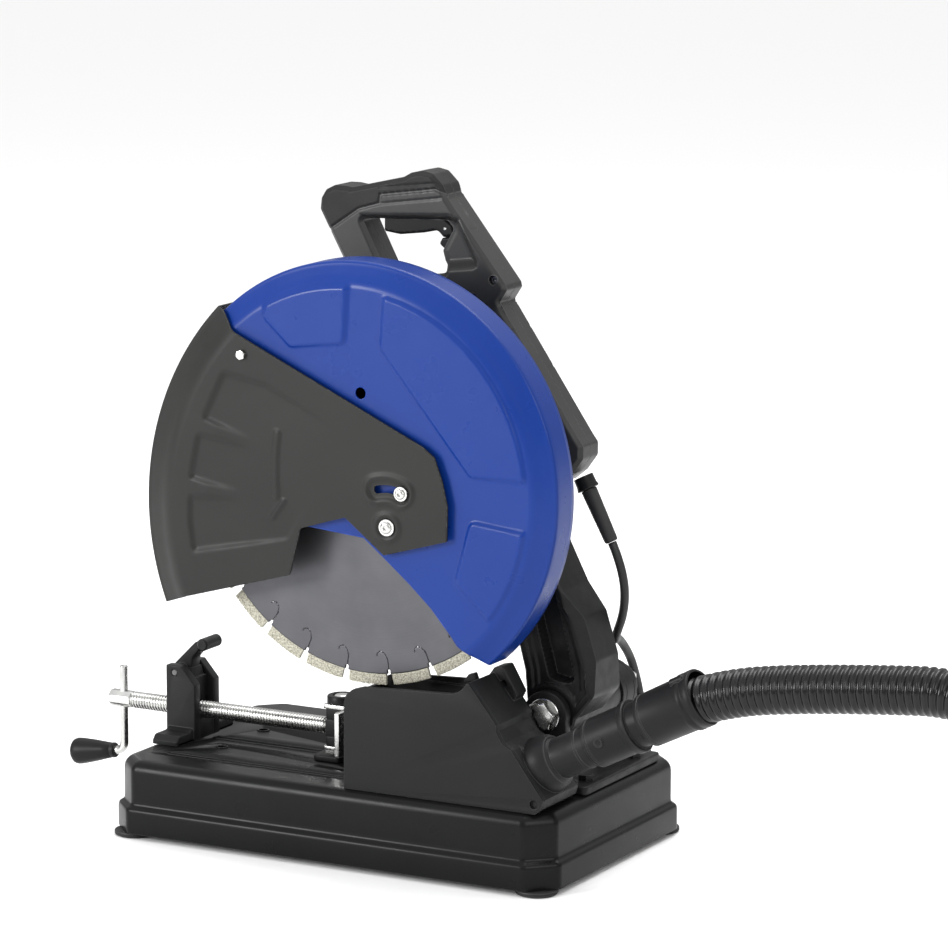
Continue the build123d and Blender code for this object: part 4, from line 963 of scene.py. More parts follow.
def make_base_pan():
    """The pressed base: a rolled foot, a stepped skirt, round shoulders and a slotted deck."""
    section = [(-34, 5.1), (3.6, 5.1), (4.7, 5.6), (5, 6.6), (5, 24.5), (4.8, 26.6), (4.1, 28.2), (2.9, 29.3),
               (1.4, 30.2), (0.5, 31.4), (0.1, 33), (0, 36), (0, 61), (-0.5, 64.2), (-1.7, 67), (-3.6, 69.4),
               (-6, 71.1), (-9, 71.85), (-12, 72)]
    rings = [pan_ring(outset) for outset, _ in section]
    vertices = []
    for ring, (_, height) in zip(rings, section):
        vertices += [(x * MM, y * MM, height * MM) for x, y in ring]
    mesh = bpy.data.meshes.new("pan")
    mesh.from_pydata(vertices, [], ring_faces(len(section), len(rings[0])))
    holes = [rounded(BLADE_SLOT, 3, 4), rounded(GUIDE_SLOT, 3.8, 4), circle((-156, -50), 5, 24),
             circle((-156, 24), 5, 24)]
    deck = filled_mesh("deck", (rings[-1], *holes))
    deck.transform(Matrix.Translation((0, 0, DECK * MM)))
    mesh = joined("base_shell", [mesh, deck])
    work = bmesh.new()
    work.from_mesh(mesh)
    bmesh.ops.remove_doubles(work, verts=work.verts, dist=0.05 * MM)
    for face in work.faces:
        middle = face.calc_center_median()
        outward = Vector((0, 0, 1)) if middle.z > 0.0719 else Vector((middle.x, middle.y, 0))
        if middle.z < 0.0055 and abs(face.normal.z) > 0.7:
            outward = Vector((0, 0, -1))
        if face.normal.dot(outward) < 0:
            face.normal_flip()
    work.to_mesh(mesh)
    work.free()
    pan = new_object("base_shell", mesh, "pan", "base", "black_coated_steel", ["base_pan"])
    mesh.shade_smooth()
    mesh.set_sharp_from_angle(angle=radians(38))
    thicken(pan, 2.2)
    lips = [lip("slot_lips", loop, DECK + 0.1, 0.9) for loop in holes]
    piece("slot_lips", lips, "pan", "base", "black_coated_steel", (), 80)


FOOT_SPOTS = [(206, 121), (206, -121), (-206, 121), (-206, -121)]


def make_feet():
    """Four rubber feet with a waist groove, a rounded foot and a bolt hole."""
    meshes = []
    for spot in FOOT_SPOTS:
        profile = [(0.1, 3.5), (0.1, 16.6), (0.9, 18.3), (2.0, 18.9), (2.6, 18.2), (3.1, 18.2), (3.6, 18.9),
                   (4.6, 18.6), (5, 17.6), (5, 3.5)]
        meshes.append(turned("feet", profile, (*spot, 0), (0, 0, 1), 48))
    piece("foot_pads", meshes, "rubber", "base", "foot_rubber", ["rubber_feet"])


# ------------------------------------------------------------------ dust box and hose fittings

BOX_OUTLINE = [(17, DECK), (17, 149), (19, 157), (26, 163), (36, 166), (126, 170), (134, 174), (141, 182),
               (169, 147), (169, 141), (175, 131), (184, 126), (215, 85), (213, 77), (207, DECK)]
BOX_RADII = [0, 3, 6, 6, 6, 10, 6, 1.5, 4, 5, 7, 6, 5, 3, 0]
BOX_WALL = [(134.5, 174.2), (141, 182), (169, 147), (169, 141), (175, 131), (184, 126), (215, 85), (213, 77),
            (207, DECK), (198, DECK), (198, 98), (180, 121), (171, 126.5), (165, 138), (163, 144), (137, 176)]


def make_dust_box():
    """The dust box: a flat near plate on a cast box, open at the top, with its lug and outlet."""
    outline = rounded(BOX_OUTLINE, BOX_RADII, 4)
    plate = flat_solid("box_plate", outline, -128, -125, 0.5, [circle((206, 81), 4, 28)])
    piece("box_plate", plate, "box_plate", "base", "black_coated_steel", ["dust_box_plate"])
    near = flat_solid("box", outline, -124.9, -122.4, 0.5, [circle((206, 81), 4, 28)])
    far = flat_solid("box", outline, -64, -60, 0.8)
    wall = flat_solid("box", rounded(BOX_WALL, 1.2, 3), -124.9, -60.2, 0.9)
    left = [box_mesh("box", (17, -124.8, 72.1), (21, -101.2, 156), 0.8),
            box_mesh("box", (17, -86.8, 72.1), (21, -60.4, 156), 0.8)]
    rib = box_mesh("box", (30, -66.5, 154), (132, -60.4, 163), 0.9)
    lug_outline = rounded([(131, 172), (141, 186), (150, 188), (164, 164), (156, 150)], [1, 2.5, 3, 4, 2], 4)
    lug = flat_solid("box", lug_outline, -79.5, -60.2, 1.2, [circle((150, 172), 3.4, 24)])
    boss_near = [(168, 139), (176, 130), (187, 125), (204, 103), (196, 96), (178, 112)]
    boss = flat_solid("box", rounded(boss_near, 3, 3), -112, -74, 2.5)
    hook = flat_solid("box", rounded([(112, 170), (118, 178), (124, 180), (127, 172)], 1.5, 3), -84, -78, 0.8)
    outlet = Vector(OUTLET)
    spigot = turned("box", [(-13, 15.5), (-13, 22), (3, 22), (6.5, 21.6), (8.6, 20.2), (9.2, 18.7), (34, 18.5),
                            (34.3, 18.9), (36.4, 18.9), (36.8, 18.5), (57.6, 18.5), (58, 18.1), (58, 15.5)],
                    outlet, OUTLET_AXIS, 72)
    collar = turned("box", [(-12, 22), (-12, 26.5), (-4, 26.3), (2.5, 24.6), (6, 22.4), (6.4, 21)],
                    outlet, OUTLET_AXIS, 72)
    box = joined("box", [near, far, wall, *left, rib, lug, boss, hook, spigot, collar])
    piece("dust_box_casting", box, "casting", "base", "black_plastic", ["dust_box"])


def make_hose_fittings():
    """The adapter and the cuff between the outlet and the hose, with lips, ribs and a round button."""
    outlet = Vector(OUTLET)
    adapter = [(46, 18.7), (46, 21.3), (46.8, 22), (49, 22.1), (49.4, 21.5), (50.2, 21.5), (50.6, 22.1),
               (85.4, 22.3), (85.8, 23.8), (86.6, 24.3), (91.2, 24.3), (92, 23.6), (92, 20.9), (94, 20.5),
               (117.4, 20.5), (118, 20), (118, 17), (62, 17), (60, 18.7)]
    mesh = turned("adapter", adapter, outlet, OUTLET_AXIS, 72)
    button = outlet + OUTLET_AXIS * 62
    knob = turned("button", [(0, 0.01), (0, 3.2), (0.9, 4.4), (1.6, 4.6), (2.2, 4.2), (2.3, 3.4), (1.8, 3.0),
                             (1.7, 0.01)], (button.x, button.y - 21.4, button.z), (0, -1, 0), 40, False)
    piece("hose_adapter_ring", [mesh, knob], "plastic", "base", "black_plastic",
          ["hose_adapter"])
    cuff = [(103, 20.7), (103, 22.8), (104, 23.5), (107, 23.6), (107.5, 23.1), (108.6, 23.1), (109.1, 23.7),
            (146, 24.4), (147.6, 25.2), (149, 25.8), (152, 25.8), (153, 25.1), (154.5, 25.1), (155.5, 25.8),
            (161, 25.8), (162, 25.2), (162, 23.4), (146, 23), (145.5, 21.6), (119, 21.5), (118, 20.7)]
    mesh = turned("cuff", cuff, outlet, OUTLET_AXIS, 72)
    clips = []
    for quarter in range(2):
        angle = pi / 2 + pi * quarter
        side = Vector(Y_AXIS)
        up = OUTLET_AXIS.cross(side)
        out = side * cos(angle + 0.5) + up * sin(angle + 0.5)
        place = outlet + OUTLET_AXIS * 150 + out * 24.2
        clips.append(turned("clip", [(-6, 0.01), (-6, 3), (-5, 4), (7, 4), (8.5, 2.6), (8.5, 0.01)], place,
                            OUTLET_AXIS, 20, False))
    piece("hose_cuff_ring", [mesh, *clips], "plastic", "base", "black_plastic", ["hose_cuff"])


def make_hose_end():
    """The vacuum end of the hose: a tapered cuff with grip rings."""
    last = Vector(HOSE_ROUTE[-1])
    along = (last - Vector(HOSE_ROUTE[-2])).normalized()
    profile = [(-26, 21.1), (-26, 22.8), (-25.2, 23.3)]
    for ring in range(4):
        start = -22 + ring * 5
        profile += [(start, 23.3), (start + 0.6, 22.6), (start + 1.6, 22.6), (start + 2.2, 23.3)]
    profile += [(1, 23.2), (3, 22.9), (51, 19.1), (52, 18.4), (52, 16.2), (50, 16), (-1, 16), (-1, 21.1)]
    mesh = turned("end_cuff", profile, last, along, 72)
    return piece("vacuum_cuff", mesh, "plastic", "base", "black_plastic", ["hose_end_cuff"])


# ------------------------------------------------------------------ height-field solids

def grid(low, high, step):
    """A flat grid of squares between two corners of the X-Z plane, facing -Y."""
    columns = int(math.ceil((high[0] - low[0]) / step)) + 1
    rows = int(math.ceil((high[1] - low[1]) / step)) + 1
    vertices = [(low[0] + step * i, 0.0, low[1] + step * j) for j in range(rows) for i in range(columns)]
    faces = [(j * columns + i, j * columns + i + 1, (j + 1) * columns + i + 1, (j + 1) * columns + i)
             for j in range(rows - 1) for i in range(columns - 1)]
    return np.array(vertices), faces


def chamfer(depth, size, soft=1.0):
    """How much a face falls back towards an edge: a flat chamfer with softened ends."""
    share = np.clip((depth - size + soft) / (2 * soft), 0, 1)
    return np.maximum(size - np.minimum(depth, size), 0) * (1 - share)


def groove(distance, width, depth):
    """A narrow cut along a line, from the distance to it."""
    return depth * (1 - smooth_step(distance, width / 2, width))


def relief_solid(name, outline, near, far, holes, keep, step):
    """A solid with an outline and holes in the X-Z plane, whose two faces are height fields.

    near and far give the y of each face from x, z and the distance to the nearest edge.
    keep gives a value that is negative where the solid is cut away with no chamfer.
    """
    def edge_distance(px, pz):
        depth = polygon_distance(outline, px, pz)
        for hole in holes:
            depth = np.minimum(depth, -polygon_distance(hole, px, pz))
        return depth

    corners = np.array(outline)
    vertices, faces = grid(corners.min(axis=0) - step, corners.max(axis=0) + step, step)
    vertices, faces = clipped(vertices, faces, edge_distance(vertices[:, 0], vertices[:, 2]))
    if keep:
        vertices, faces = clipped(vertices, faces, keep(vertices[:, 0], vertices[:, 2]))
    px, pz = vertices[:, 0], vertices[:, 2]
    depth = np.maximum(edge_distance(px, pz), 0)
    front = np.stack([px, near(px, pz, depth), pz], axis=1)
    back = np.stack([px, far(px, pz, depth), pz], axis=1)
    count = len(vertices)
    used = {(here, after) for face in faces for here, after in zip(face, face[1:] + face[:1])}
    solid = list(faces) + [tuple(count + n for n in reversed(face)) for face in faces]
    solid += [(after, here, here + count, after + count) for here, after in used if (after, here) not in used]
    return built_mesh(name, (np.concatenate([front, back]) * MM).tolist(), solid, 0.02, False)


def hull_outline(first, first_radius, second, second_radius, steps=40):
    """The outline round two circles, the second one being the larger."""
    along = atan2(second[1] - first[1], second[0] - first[0])
    spread = math.acos((first_radius - second_radius) / hypot(second[0] - first[0], second[1] - first[1]))
    near = arc(first, first_radius, degrees(along + spread), degrees(along + 2 * pi - spread), steps)
    far = arc(second, second_radius, degrees(along - spread), degrees(along + spread), steps)
    return near + far


def pan_screw(name, centre, radius, low, height):
    """A washer with a domed screw head that has a six-lobed socket, facing -Y."""
    washer = disc(name, centre, radius, low - 0.9, low, 0.25)
    count = 60
    vertices = []
    rings = [(1.0, 0.0), (0.99, 0.35), (0.93, 0.62), (0.8, 0.84), (0.62, 0.96), (0.5, 1.0), ("lobe", 1.0),
             ("lobe", 0.25), (0.02, 0.18)]
    head = radius * 0.72
    for reach, rise in rings:
        for n in range(count):
            angle = 2 * pi * n / count
            size = head * (0.4 * (1 + 0.16 * cos(6 * angle)) if reach == "lobe" else reach)
            vertices.append((centre[0] + size * cos(angle), low - 0.9 - (height - 0.9) * rise,
                             centre[1] + size * sin(angle)))
    faces = end_faces(len(rings), count) + ring_faces(len(rings), count)
    mesh = built_mesh(name, (np.array(vertices) * MM).tolist(), faces)
    return joined(name, [washer, mesh])


# ------------------------------------------------------------------ vise

CHEEK = [(-221, DECK + 0.1), (-221, 141), (-205, 141), (-190, 124), (-190, DECK + 0.1)]
LEVER_PIVOT = (-212, 134)
SCREW_PITCH = 3


def make_nut_block():
    """The cast nut block: two cheeks with clipped tops, a saddle under the screw and two foot tabs."""
    cheek = rounded(CHEEK, [0.5, 2, 2.5, 2.5, 0.5], 4)
    parts = [flat_solid("block", cheek, VISE_Y - 22, VISE_Y - 12, 1.3, [circle(LEVER_PIVOT, 3, 24)]),
             flat_solid("block", cheek, VISE_Y + 12, VISE_Y + 22, 1.3, [circle(LEVER_PIVOT, 3, 24)])]
    saddle = [(VISE_Y - 12.5, DECK + 0.1), (VISE_Y + 12.5, DECK + 0.1), (VISE_Y + 12.5, 97)]
    saddle += arc((VISE_Y, SCREW_Z), 8.4, -3.4, -176.6, 16) + [(VISE_Y - 12.5, 97)]
    parts.append(flat_solid("block", saddle, -220.5, -190.5, 0.8, (), "X"))
    for side in (-1, 1):
        tab = [(VISE_Y + side * 50, DECK + 0.1), (VISE_Y + side * 50, 76), (VISE_Y + side * 45.5, 81),
               (VISE_Y + side * 27, 81), (VISE_Y + side * 21, 84), (VISE_Y + side * 18, 84),
               (VISE_Y + side * 18, DECK + 0.1)]
        if side < 0:
            tab.reverse()
        radii = [0.5, 1.5, 2, 3, 1, 0.5, 0.5] if side > 0 else [0.5, 0.5, 1, 3, 2, 1.5, 0.5]
        parts.append(flat_solid("block", rounded(tab, radii, 4), -219, -192, 1.6, (), "X"))
    piece("vise_block", parts, "casting", "base", "black_casting", ["vise_nut_block"])
    pins = [disc("pin", LEVER_PIVOT, 3, VISE_Y - 21.6, VISE_Y + 21.6, 0.5, 0, 28)]
    piece("lever_hinge_pin", pins, "dark_steel", "base", "machined_steel", ["lever_pin"])


def make_nut_lever():
    """The quick-release lever: a bent cast tongue with a round finger bar, and the half nut under its hub."""
    outline = [(-219, 130), (-223, 137), (-199, 161), (-187, 166.6), (-184, 161), (-192, 156), (-201, 146),
               (-203, 130)]
    tongue = flat_solid("lever", rounded(outline, [3, 5, 8, 2.5, 3, 7, 6, 2], 5), VISE_Y - 8, VISE_Y + 8, 2)
    bar = turned("lever", [(-14, 0.01), (-14, 4.2), (-12.4, 5.8), (12.4, 5.8), (14, 4.2), (14, 0.01)],
                 (-187, VISE_Y, 161), Y_AXIS, 40)
    hub = turned("lever", [(-11.6, 3.05), (-11.6, 6.4), (-11, 7), (11, 7), (11.6, 6.4), (11.6, 3.05)],
                 (LEVER_PIVOT[0], VISE_Y, LEVER_PIVOT[1]), Y_AXIS, 40)
    claw = [(VISE_Y - 11.4, 128), (VISE_Y - 11.4, 101)]
    claw += arc((VISE_Y, SCREW_Z), 8.45, 155.5, 24.5, 14) + [(VISE_Y + 11.4, 101), (VISE_Y + 11.4, 128)]
    nut = flat_solid("lever", claw, -211.5, -197.5, 0.5, (), "X")
    neck = flat_solid("lever", rounded([(-213, 124), (-210, 137), (-202, 137), (-198, 124)], 1.5, 3), VISE_Y - 10,
                      VISE_Y + 10, 1)
    piece("release_lever", [tongue, bar, hub, nut, neck], "casting", "nut_lever",
          "black_casting", ["nut_release_lever"])


def make_vise_screw():
    """The rolled thread of the vise screw, its end block and its neck."""
    sides = 36
    samples = 8
    start, stop = -271, -60.2
    rings = int((stop - start) / SCREW_PITCH * samples) + 1
    angles = 2 * pi * np.arange(sides) / sides
    rows = []
    for ring in range(rings):
        x = start + ring * SCREW_PITCH / samples
        phase = np.mod(x / SCREW_PITCH - angles / (2 * pi), 1)
        wave = np.clip(np.abs(phase - 0.5) * 4 - 0.65, 0, 0.9) / 0.9
        ends = min(1, (x - start) / 3, (stop - x) / 3)
        radius = 7.9 - 1.35 * wave - 0.9 * (1 - max(ends, 0))
        rows.append(np.stack([np.full(sides, x), VISE_Y + radius * np.cos(angles),
                              SCREW_Z + radius * np.sin(angles)], 1))
    vertices = np.concatenate(rows) * MM
    faces = [tuple(range(sides - 1, -1, -1)), tuple(range((rings - 1) * sides, rings * sides))]
    faces += ring_faces(rings, sides)
    thread = bpy.data.meshes.new("screw")
    thread.from_pydata(vertices.tolist(), [], faces)
    octagon = [(VISE_Y + 8.2 * cos(radians(22.5 + 45 * n)), SCREW_Z + 8.2 * sin(radians(22.5 + 45 * n)))
               for n in range(8)]
    end = flat_solid("screw", rounded(octagon, 0.8, 2), -294, -270.5, 1.0, (), "X")
    neck = turned("screw", [(-62, 0.01), (-62, 6.4), (-60.4, 5), (-50, 5), (-50, 6.6), (-49.5, 7), (-44.5, 7),
                            (-44, 6.6), (-44, 0.01)], (0, VISE_Y, SCREW_Z), (1, 0, 0), 40)
    piece("lead_screw", [thread, end, neck], "zinc", "screw", "zinc_steel", ["vise_screw"])


KNOB_TILT = radians(8)
KNOB_AXIS = Vector((-cos(KNOB_TILT), 0, -sin(KNOB_TILT)))
CRANK_X = -281


def make_crank():
    """The bent crank rod through the screw's end and its tapered knob."""
    bend = 8.0
    corner = Vector((CRANK_X, VISE_Y, 48))
    path = [Vector((CRANK_X, VISE_Y, 129 - n)) for n in (0, 0.5, 1.2, 2)]
    path += [Vector((CRANK_X, VISE_Y, z)) for z in np.linspace(124, 48 + bend, 24)]
    for n in range(1, 12):
        t = n / 12
        start = corner + Vector((0, 0, bend))
        stop = corner + KNOB_AXIS * bend
        path.append(start * (1 - t) ** 2 + corner * 2 * t * (1 - t) + stop * t * t)
    path += [corner + KNOB_AXIS * d for d in (bend, 20, 32, 44, 46, 47.4)]
    radii = [3.1, 3.7, 4, 4] + [4] * (len(path) - 6) + [3.7, 3.1]
    mesh = tube_mesh("rod", np.array([tuple(p * MM) for p in path]), np.array(radii) * MM, 28)
    piece("crank_bar", mesh, "zinc", "screw", "zinc_steel", ["crank_rod"])
    profile = [(-0.4, 4.1), (-0.4, 6), (0.4, 7), (2.4, 7.2), (2.9, 6.5), (4.2, 6.5), (5, 7.2), (12, 8.4),
               (22, 10.2), (32, 11.6), (38, 12.3), (41, 12.4), (43.6, 11.7), (45.2, 10), (45.9, 7.5), (46, 4.2),
               (45, 4.1)]
    knob = turned("knob", profile, corner + KNOB_AXIS * 10, KNOB_AXIS, 56)
    piece("crank_grip", knob, "plastic", "knob", "black_plastic", ["crank_knob"])


def make_vise_jaw():
    """The zinc jaw plate with folded tabs, its swivel block, lock disc, bolt and glide shoe."""
    plate = flat_solid("jaw", rounded([(VISE_Y - 38, 78.1), (VISE_Y + 38, 78.1), (VISE_Y + 38, 120),
                                       (VISE_Y - 38, 120)], 2, 4), -33, -28, 0.7, (), "X")
    tab = rounded([(-60, VISE_Y - 12), (-31, VISE_Y - 12), (-31, VISE_Y + 12), (-60, VISE_Y + 12)], 3, 4)
    tabs = [flat_solid("jaw", tab, 116, 120, 0.6, [circle((-46, VISE_Y), 4, 24)], "Z"),
            flat_solid("jaw", tab, 78.1, 81, 0.6, (), "Z")]
    piece("jaw_plate", [plate, *tabs], "zinc", "jaw", "zinc_steel", ["vise_jaw"])
    swivel = rounded([(-58, VISE_Y - 11), (-33.2, VISE_Y - 11), (-33.2, VISE_Y + 11), (-58, VISE_Y + 11)], 3, 4)
    blocks = [flat_solid("swivel", swivel, 104.8, 116, 0.8, [circle((-46, VISE_Y), 4, 24)], "Z"),
              flat_solid("swivel", swivel, 81, 90.2, 0.8, (), "Z")]
    for side in (-1, 1):
        wall = rounded([(-58, VISE_Y + side * 11), (-33.2, VISE_Y + side * 11), (-33.2, VISE_Y + side * 7.4),
                        (-58, VISE_Y + side * 7.4)], 0.8, 3)
        blocks.append(flat_solid("swivel", wall, 89.5, 105.5, 0.5, (), "Z"))
    piece("jaw_swivel", blocks, "casting", "jaw", "black_casting", ["jaw_swivel_block"])
    ring = turned("disc", [(0, 4), (0, 12.6), (1.4, 14), (6.6, 14), (7.6, 13.3), (8, 12.2), (8, 9.4), (7.3, 8.6),
                           (5.5, 8.2), (5.5, 4)], (-46, VISE_Y, 120), (0, 0, 1), 60)
    piece("jaw_lock_ring", ring, "plastic", "jaw", "black_plastic", ["jaw_lock_disc"])
    bolt = turned("bolt", [(-18.5, 0.01), (-18.5, 3.4), (-18, 3.95), (0, 3.95), (0, 7.2), (0.4, 7.5), (1.4, 7.4),
                           (2.3, 6.6), (2.8, 5.2), (3, 3), (3, 0.01)], (-46, VISE_Y, 125.5), (0, 0, 1), 48)
    piece("jaw_bolt", bolt, "zinc", "jaw", "zinc_steel", ["jaw_swivel_bolt"])
    shoe = rounded([(-58, VISE_Y - 34), (-30, VISE_Y - 34), (-30, VISE_Y + 34), (-58, VISE_Y + 34)], 4, 4)
    tongue = rounded([(-56, VISE_Y - 3.6), (-32, VISE_Y - 3.6), (-32, VISE_Y + 3.6), (-56, VISE_Y + 3.6)], 1, 3)
    glide = [flat_solid("glide", shoe, 72.4, 78, 1.3, (), "Z"), flat_solid("glide", tongue, 66, 73, 0.4, (), "Z")]
    piece("jaw_shoe", glide, "plastic", "jaw", "black_plastic", ["jaw_glide"])


def make_fence():
    """The fixed fence: an upright plate on a bolted foot."""
    upright = flat_solid("fence", rounded([(-57, DECK + 0.1), (57, DECK + 0.1), (57, 120), (-57, 120)], 3, 4), 20,
                         25, 0.8, (), "X")
    foot = flat_solid("fence", rounded([(20.5, -57), (64, -57), (64, 57), (20.5, 57)], 3, 4), DECK + 0.1, 76, 0.7,
                      [circle((46, -30), 4.2, 24), circle((46, 30), 4.2, 24)], "Z")
    piece("fence_plate", [upright, foot], "pan", "base", "black_coated_steel", ["fence"])


# ------------------------------------------------------------------ blade

HOOK = [(0, -1), (0.4, 8), (0, 14), (-2.2, 18.4), (-6.2, 20.2), (-9.4, 18.6), (-10.2, 15.6)]
SEGMENTS = 24
CORE_RADIUS = BLADE_RADIUS - 10


def make_blade():
    """The steel core with a hooked relief slot at each gap, and rough diamond segments on its rim."""
    radii = [5, 20, 38, 60, 90, 118, 136] + [138 + n for n in range(28)]
    vertices, faces = drum_grid(SPINDLE, [(radius, BLADE_Y - 1.2) for radius in radii], 1080)
    angle = np.degrees(np.arctan2(vertices[:, 2] - SPINDLE[1], vertices[:, 0] - SPINDLE[0]))
    pitch = 360 / SEGMENTS
    local = np.mod(angle, pitch) - pitch / 2
    radius = np.hypot(vertices[:, 0] - SPINDLE[0], vertices[:, 2] - SPINDLE[1])
    gap = line_distance(HOOK, np.radians(local) * radius, CORE_RADIUS - radius) - 0.45
    gap = np.minimum(gap, np.maximum(np.abs(np.radians(local)) * radius - 1.6, CORE_RADIUS - 3.5 - radius))
    vertices, faces = clipped(vertices, faces, gap)
    sheet_piece("blade_disc", vertices, faces, 2.4, "blade", "blade", "blade_steel", ["blade_core"])
    rng = np.random.default_rng(11)
    points = []
    cells = []
    across, along = 7, 30
    for segment in range(SEGMENTS):
        middle = pitch * segment
        half = pitch / 2 - 1.3
        for face in range(2):
            for i in range(across):
                share = i / (across - 1)
                for j in range(along):
                    swing = half + 0.3 * (1 - share)
                    turn = radians(middle - swing + 2 * swing * j / (along - 1))
                    reach = CORE_RADIUS + 0.05 + 9.9 * share
                    if i == across - 1:
                        reach -= 0.1 + 0.75 * rng.random() * (j % 2)
                    edge = 0.35 if i in (0, across - 1) or j in (0, along - 1) else 0
                    side = (1.6 - edge - 0.12 * rng.random()) * (1 if face else -1)
                    points.append((SPINDLE[0] + reach * cos(turn), BLADE_Y + side, SPINDLE[1] + reach * sin(turn)))
            base = len(points) - across * along
            for i in range(across - 1):
                for j in range(along - 1):
                    cell = (base + i * along + j, base + (i + 1) * along + j, base + (i + 1) * along + j + 1,
                            base + i * along + j + 1)
                    cells.append(cell[::-1] if face else cell)
        near = len(points) - 2 * across * along
        shift = across * along
        ring = [near + j for j in range(along)]
        ring += [near + i * along + along - 1 for i in range(1, across)]
        ring += [near + (across - 1) * along + j for j in range(along - 2, -1, -1)]
        ring += [near + i * along for i in range(across - 2, 0, -1)]
        for here, after in zip(ring, ring[1:] + ring[:1]):
            cells.append((here, after, after + shift, here + shift))
    mesh = built_mesh("segments", (np.array(points) * MM).tolist(), cells)
    piece("rim_segments", mesh, "diamond", "blade", "diamond_segment", ["blade_segments"], 25)


def make_flanges():
    """The two turned blade flanges and the arbor bolt."""
    inner = turned("inner", [(-2.8 - 4, 10), (-6.8, 37), (-4.2, 37), (-3, 35), (-2.8, 20.6), (0, 20), (3.2, 20),
                             (3.2, 10)], (SPINDLE[0], -86, SPINDLE[1]), Y_AXIS, 96)
    piece("inner_clamp_flange", inner, "flange", "blade", "machined_steel", ["inner_flange"])
    outer = turned("outer", [(0, 5), (0, 21), (0.6, 22), (2.6, 22.6), (3.2, 34.6), (4, 37), (6.8, 37), (6.8, 5)],
                   (SPINDLE[0], -102, SPINDLE[1]), Y_AXIS, 96)
    piece("outer_clamp_flange", outer, "flange", "blade", "machined_steel", ["outer_flange"])
    bolt = [disc("bolt", SPINDLE, 13, -104, -102.05, 0.3), hex_head("bolt", SPINDLE, 17, -110.5, -104),
            disc("bolt", SPINDLE, 3.9, -104, -91, 0.4, 0, 32)]
    piece("arbor_screw", bolt, "zinc", "blade", "zinc_steel", ["arbor_bolt"])


# ------------------------------------------------------------------ pivot, arm and gear case

ARM_OUTLINE = [(192, 128), (216, 158), (214, 188), (202, 226), (184, 250), (166, 285), (158, 318), (104, 352),
               (60, 318), (84, 290), (112, 252), (140, 206), (148, 176), (152, 128)]
ARM_POCKET = [(172, 171), (186, 168), (196, 170), (176.5, 246), (166, 262), (148, 262), (160, 215)]
RIDGE_TOP = (177.9, 264.3)
RIDGE_SIDE = (0.952, 0.307)


def make_bracket():
    """The cast pivot bracket: a bolted foot and two round-topped ears."""
    holes = [circle(spot, 4.2, 24) for spot in ((139, -24), (204, -24), (139, 70), (204, 70))]
    foot = flat_solid("bracket", rounded([(128, -50), (217, -50), (217, 101), (128, 101)], 6, 4), DECK + 0.1, 80,
                      1.6, holes, "Z")
    outline = [(149, 79), (199, 79), (195.5, 122)] + arc(PIVOT, 21, -15, 195, 30) + [(152.5, 122)]
    ears = [flat_solid("bracket", outline, low, high, 1.4, [circle(PIVOT, 8.1, 32)])
            for low, high in ((-46, -36), (86, 97))]
    piece("pivot_stand", [foot, *ears], "casting", "base", "black_casting", ["pivot_bracket"])
    bolt = [hex_head("bolt", PIVOT, 24, -58.5, -48.5, 12), disc("bolt", PIVOT, 8, -49, 116, 1.2, 0, 40)]
    piece("hinge_bolt", bolt, "zinc", "base", "zinc_steel", ["pivot_bolt"])
    nut = hex_head("nut", PIVOT, 24, 99.6, 112, 30)
    nut = [disc("nut", PIVOT, 15, -48.5, -46.05, 0.5, 8), disc("nut", PIVOT, 18, 97.05, 99.5, 0.5, 8), nut]
    piece("hinge_nut", nut, "zinc", "base", "zinc_steel", ["pivot_nut_and_washers"])
    cover = turned("cover", [(0, 24.2), (0, 26), (0.5, 26.5), (6, 26.5), (6.6, 25.9), (7.4, 25.9), (8, 26.5),
                             (21, 26.5), (21.6, 25.9), (22.4, 25.9), (23, 26.5), (27, 26.5), (28.9, 24.6),
                             (28.9, 8.3), (26.5, 8.3), (26.5, 23.5)], (PIVOT[0], 57, PIVOT[1]), Y_AXIS, 72)
    piece("spring_shroud", cover, "plastic", "base", "black_plastic", ["spring_cover"])


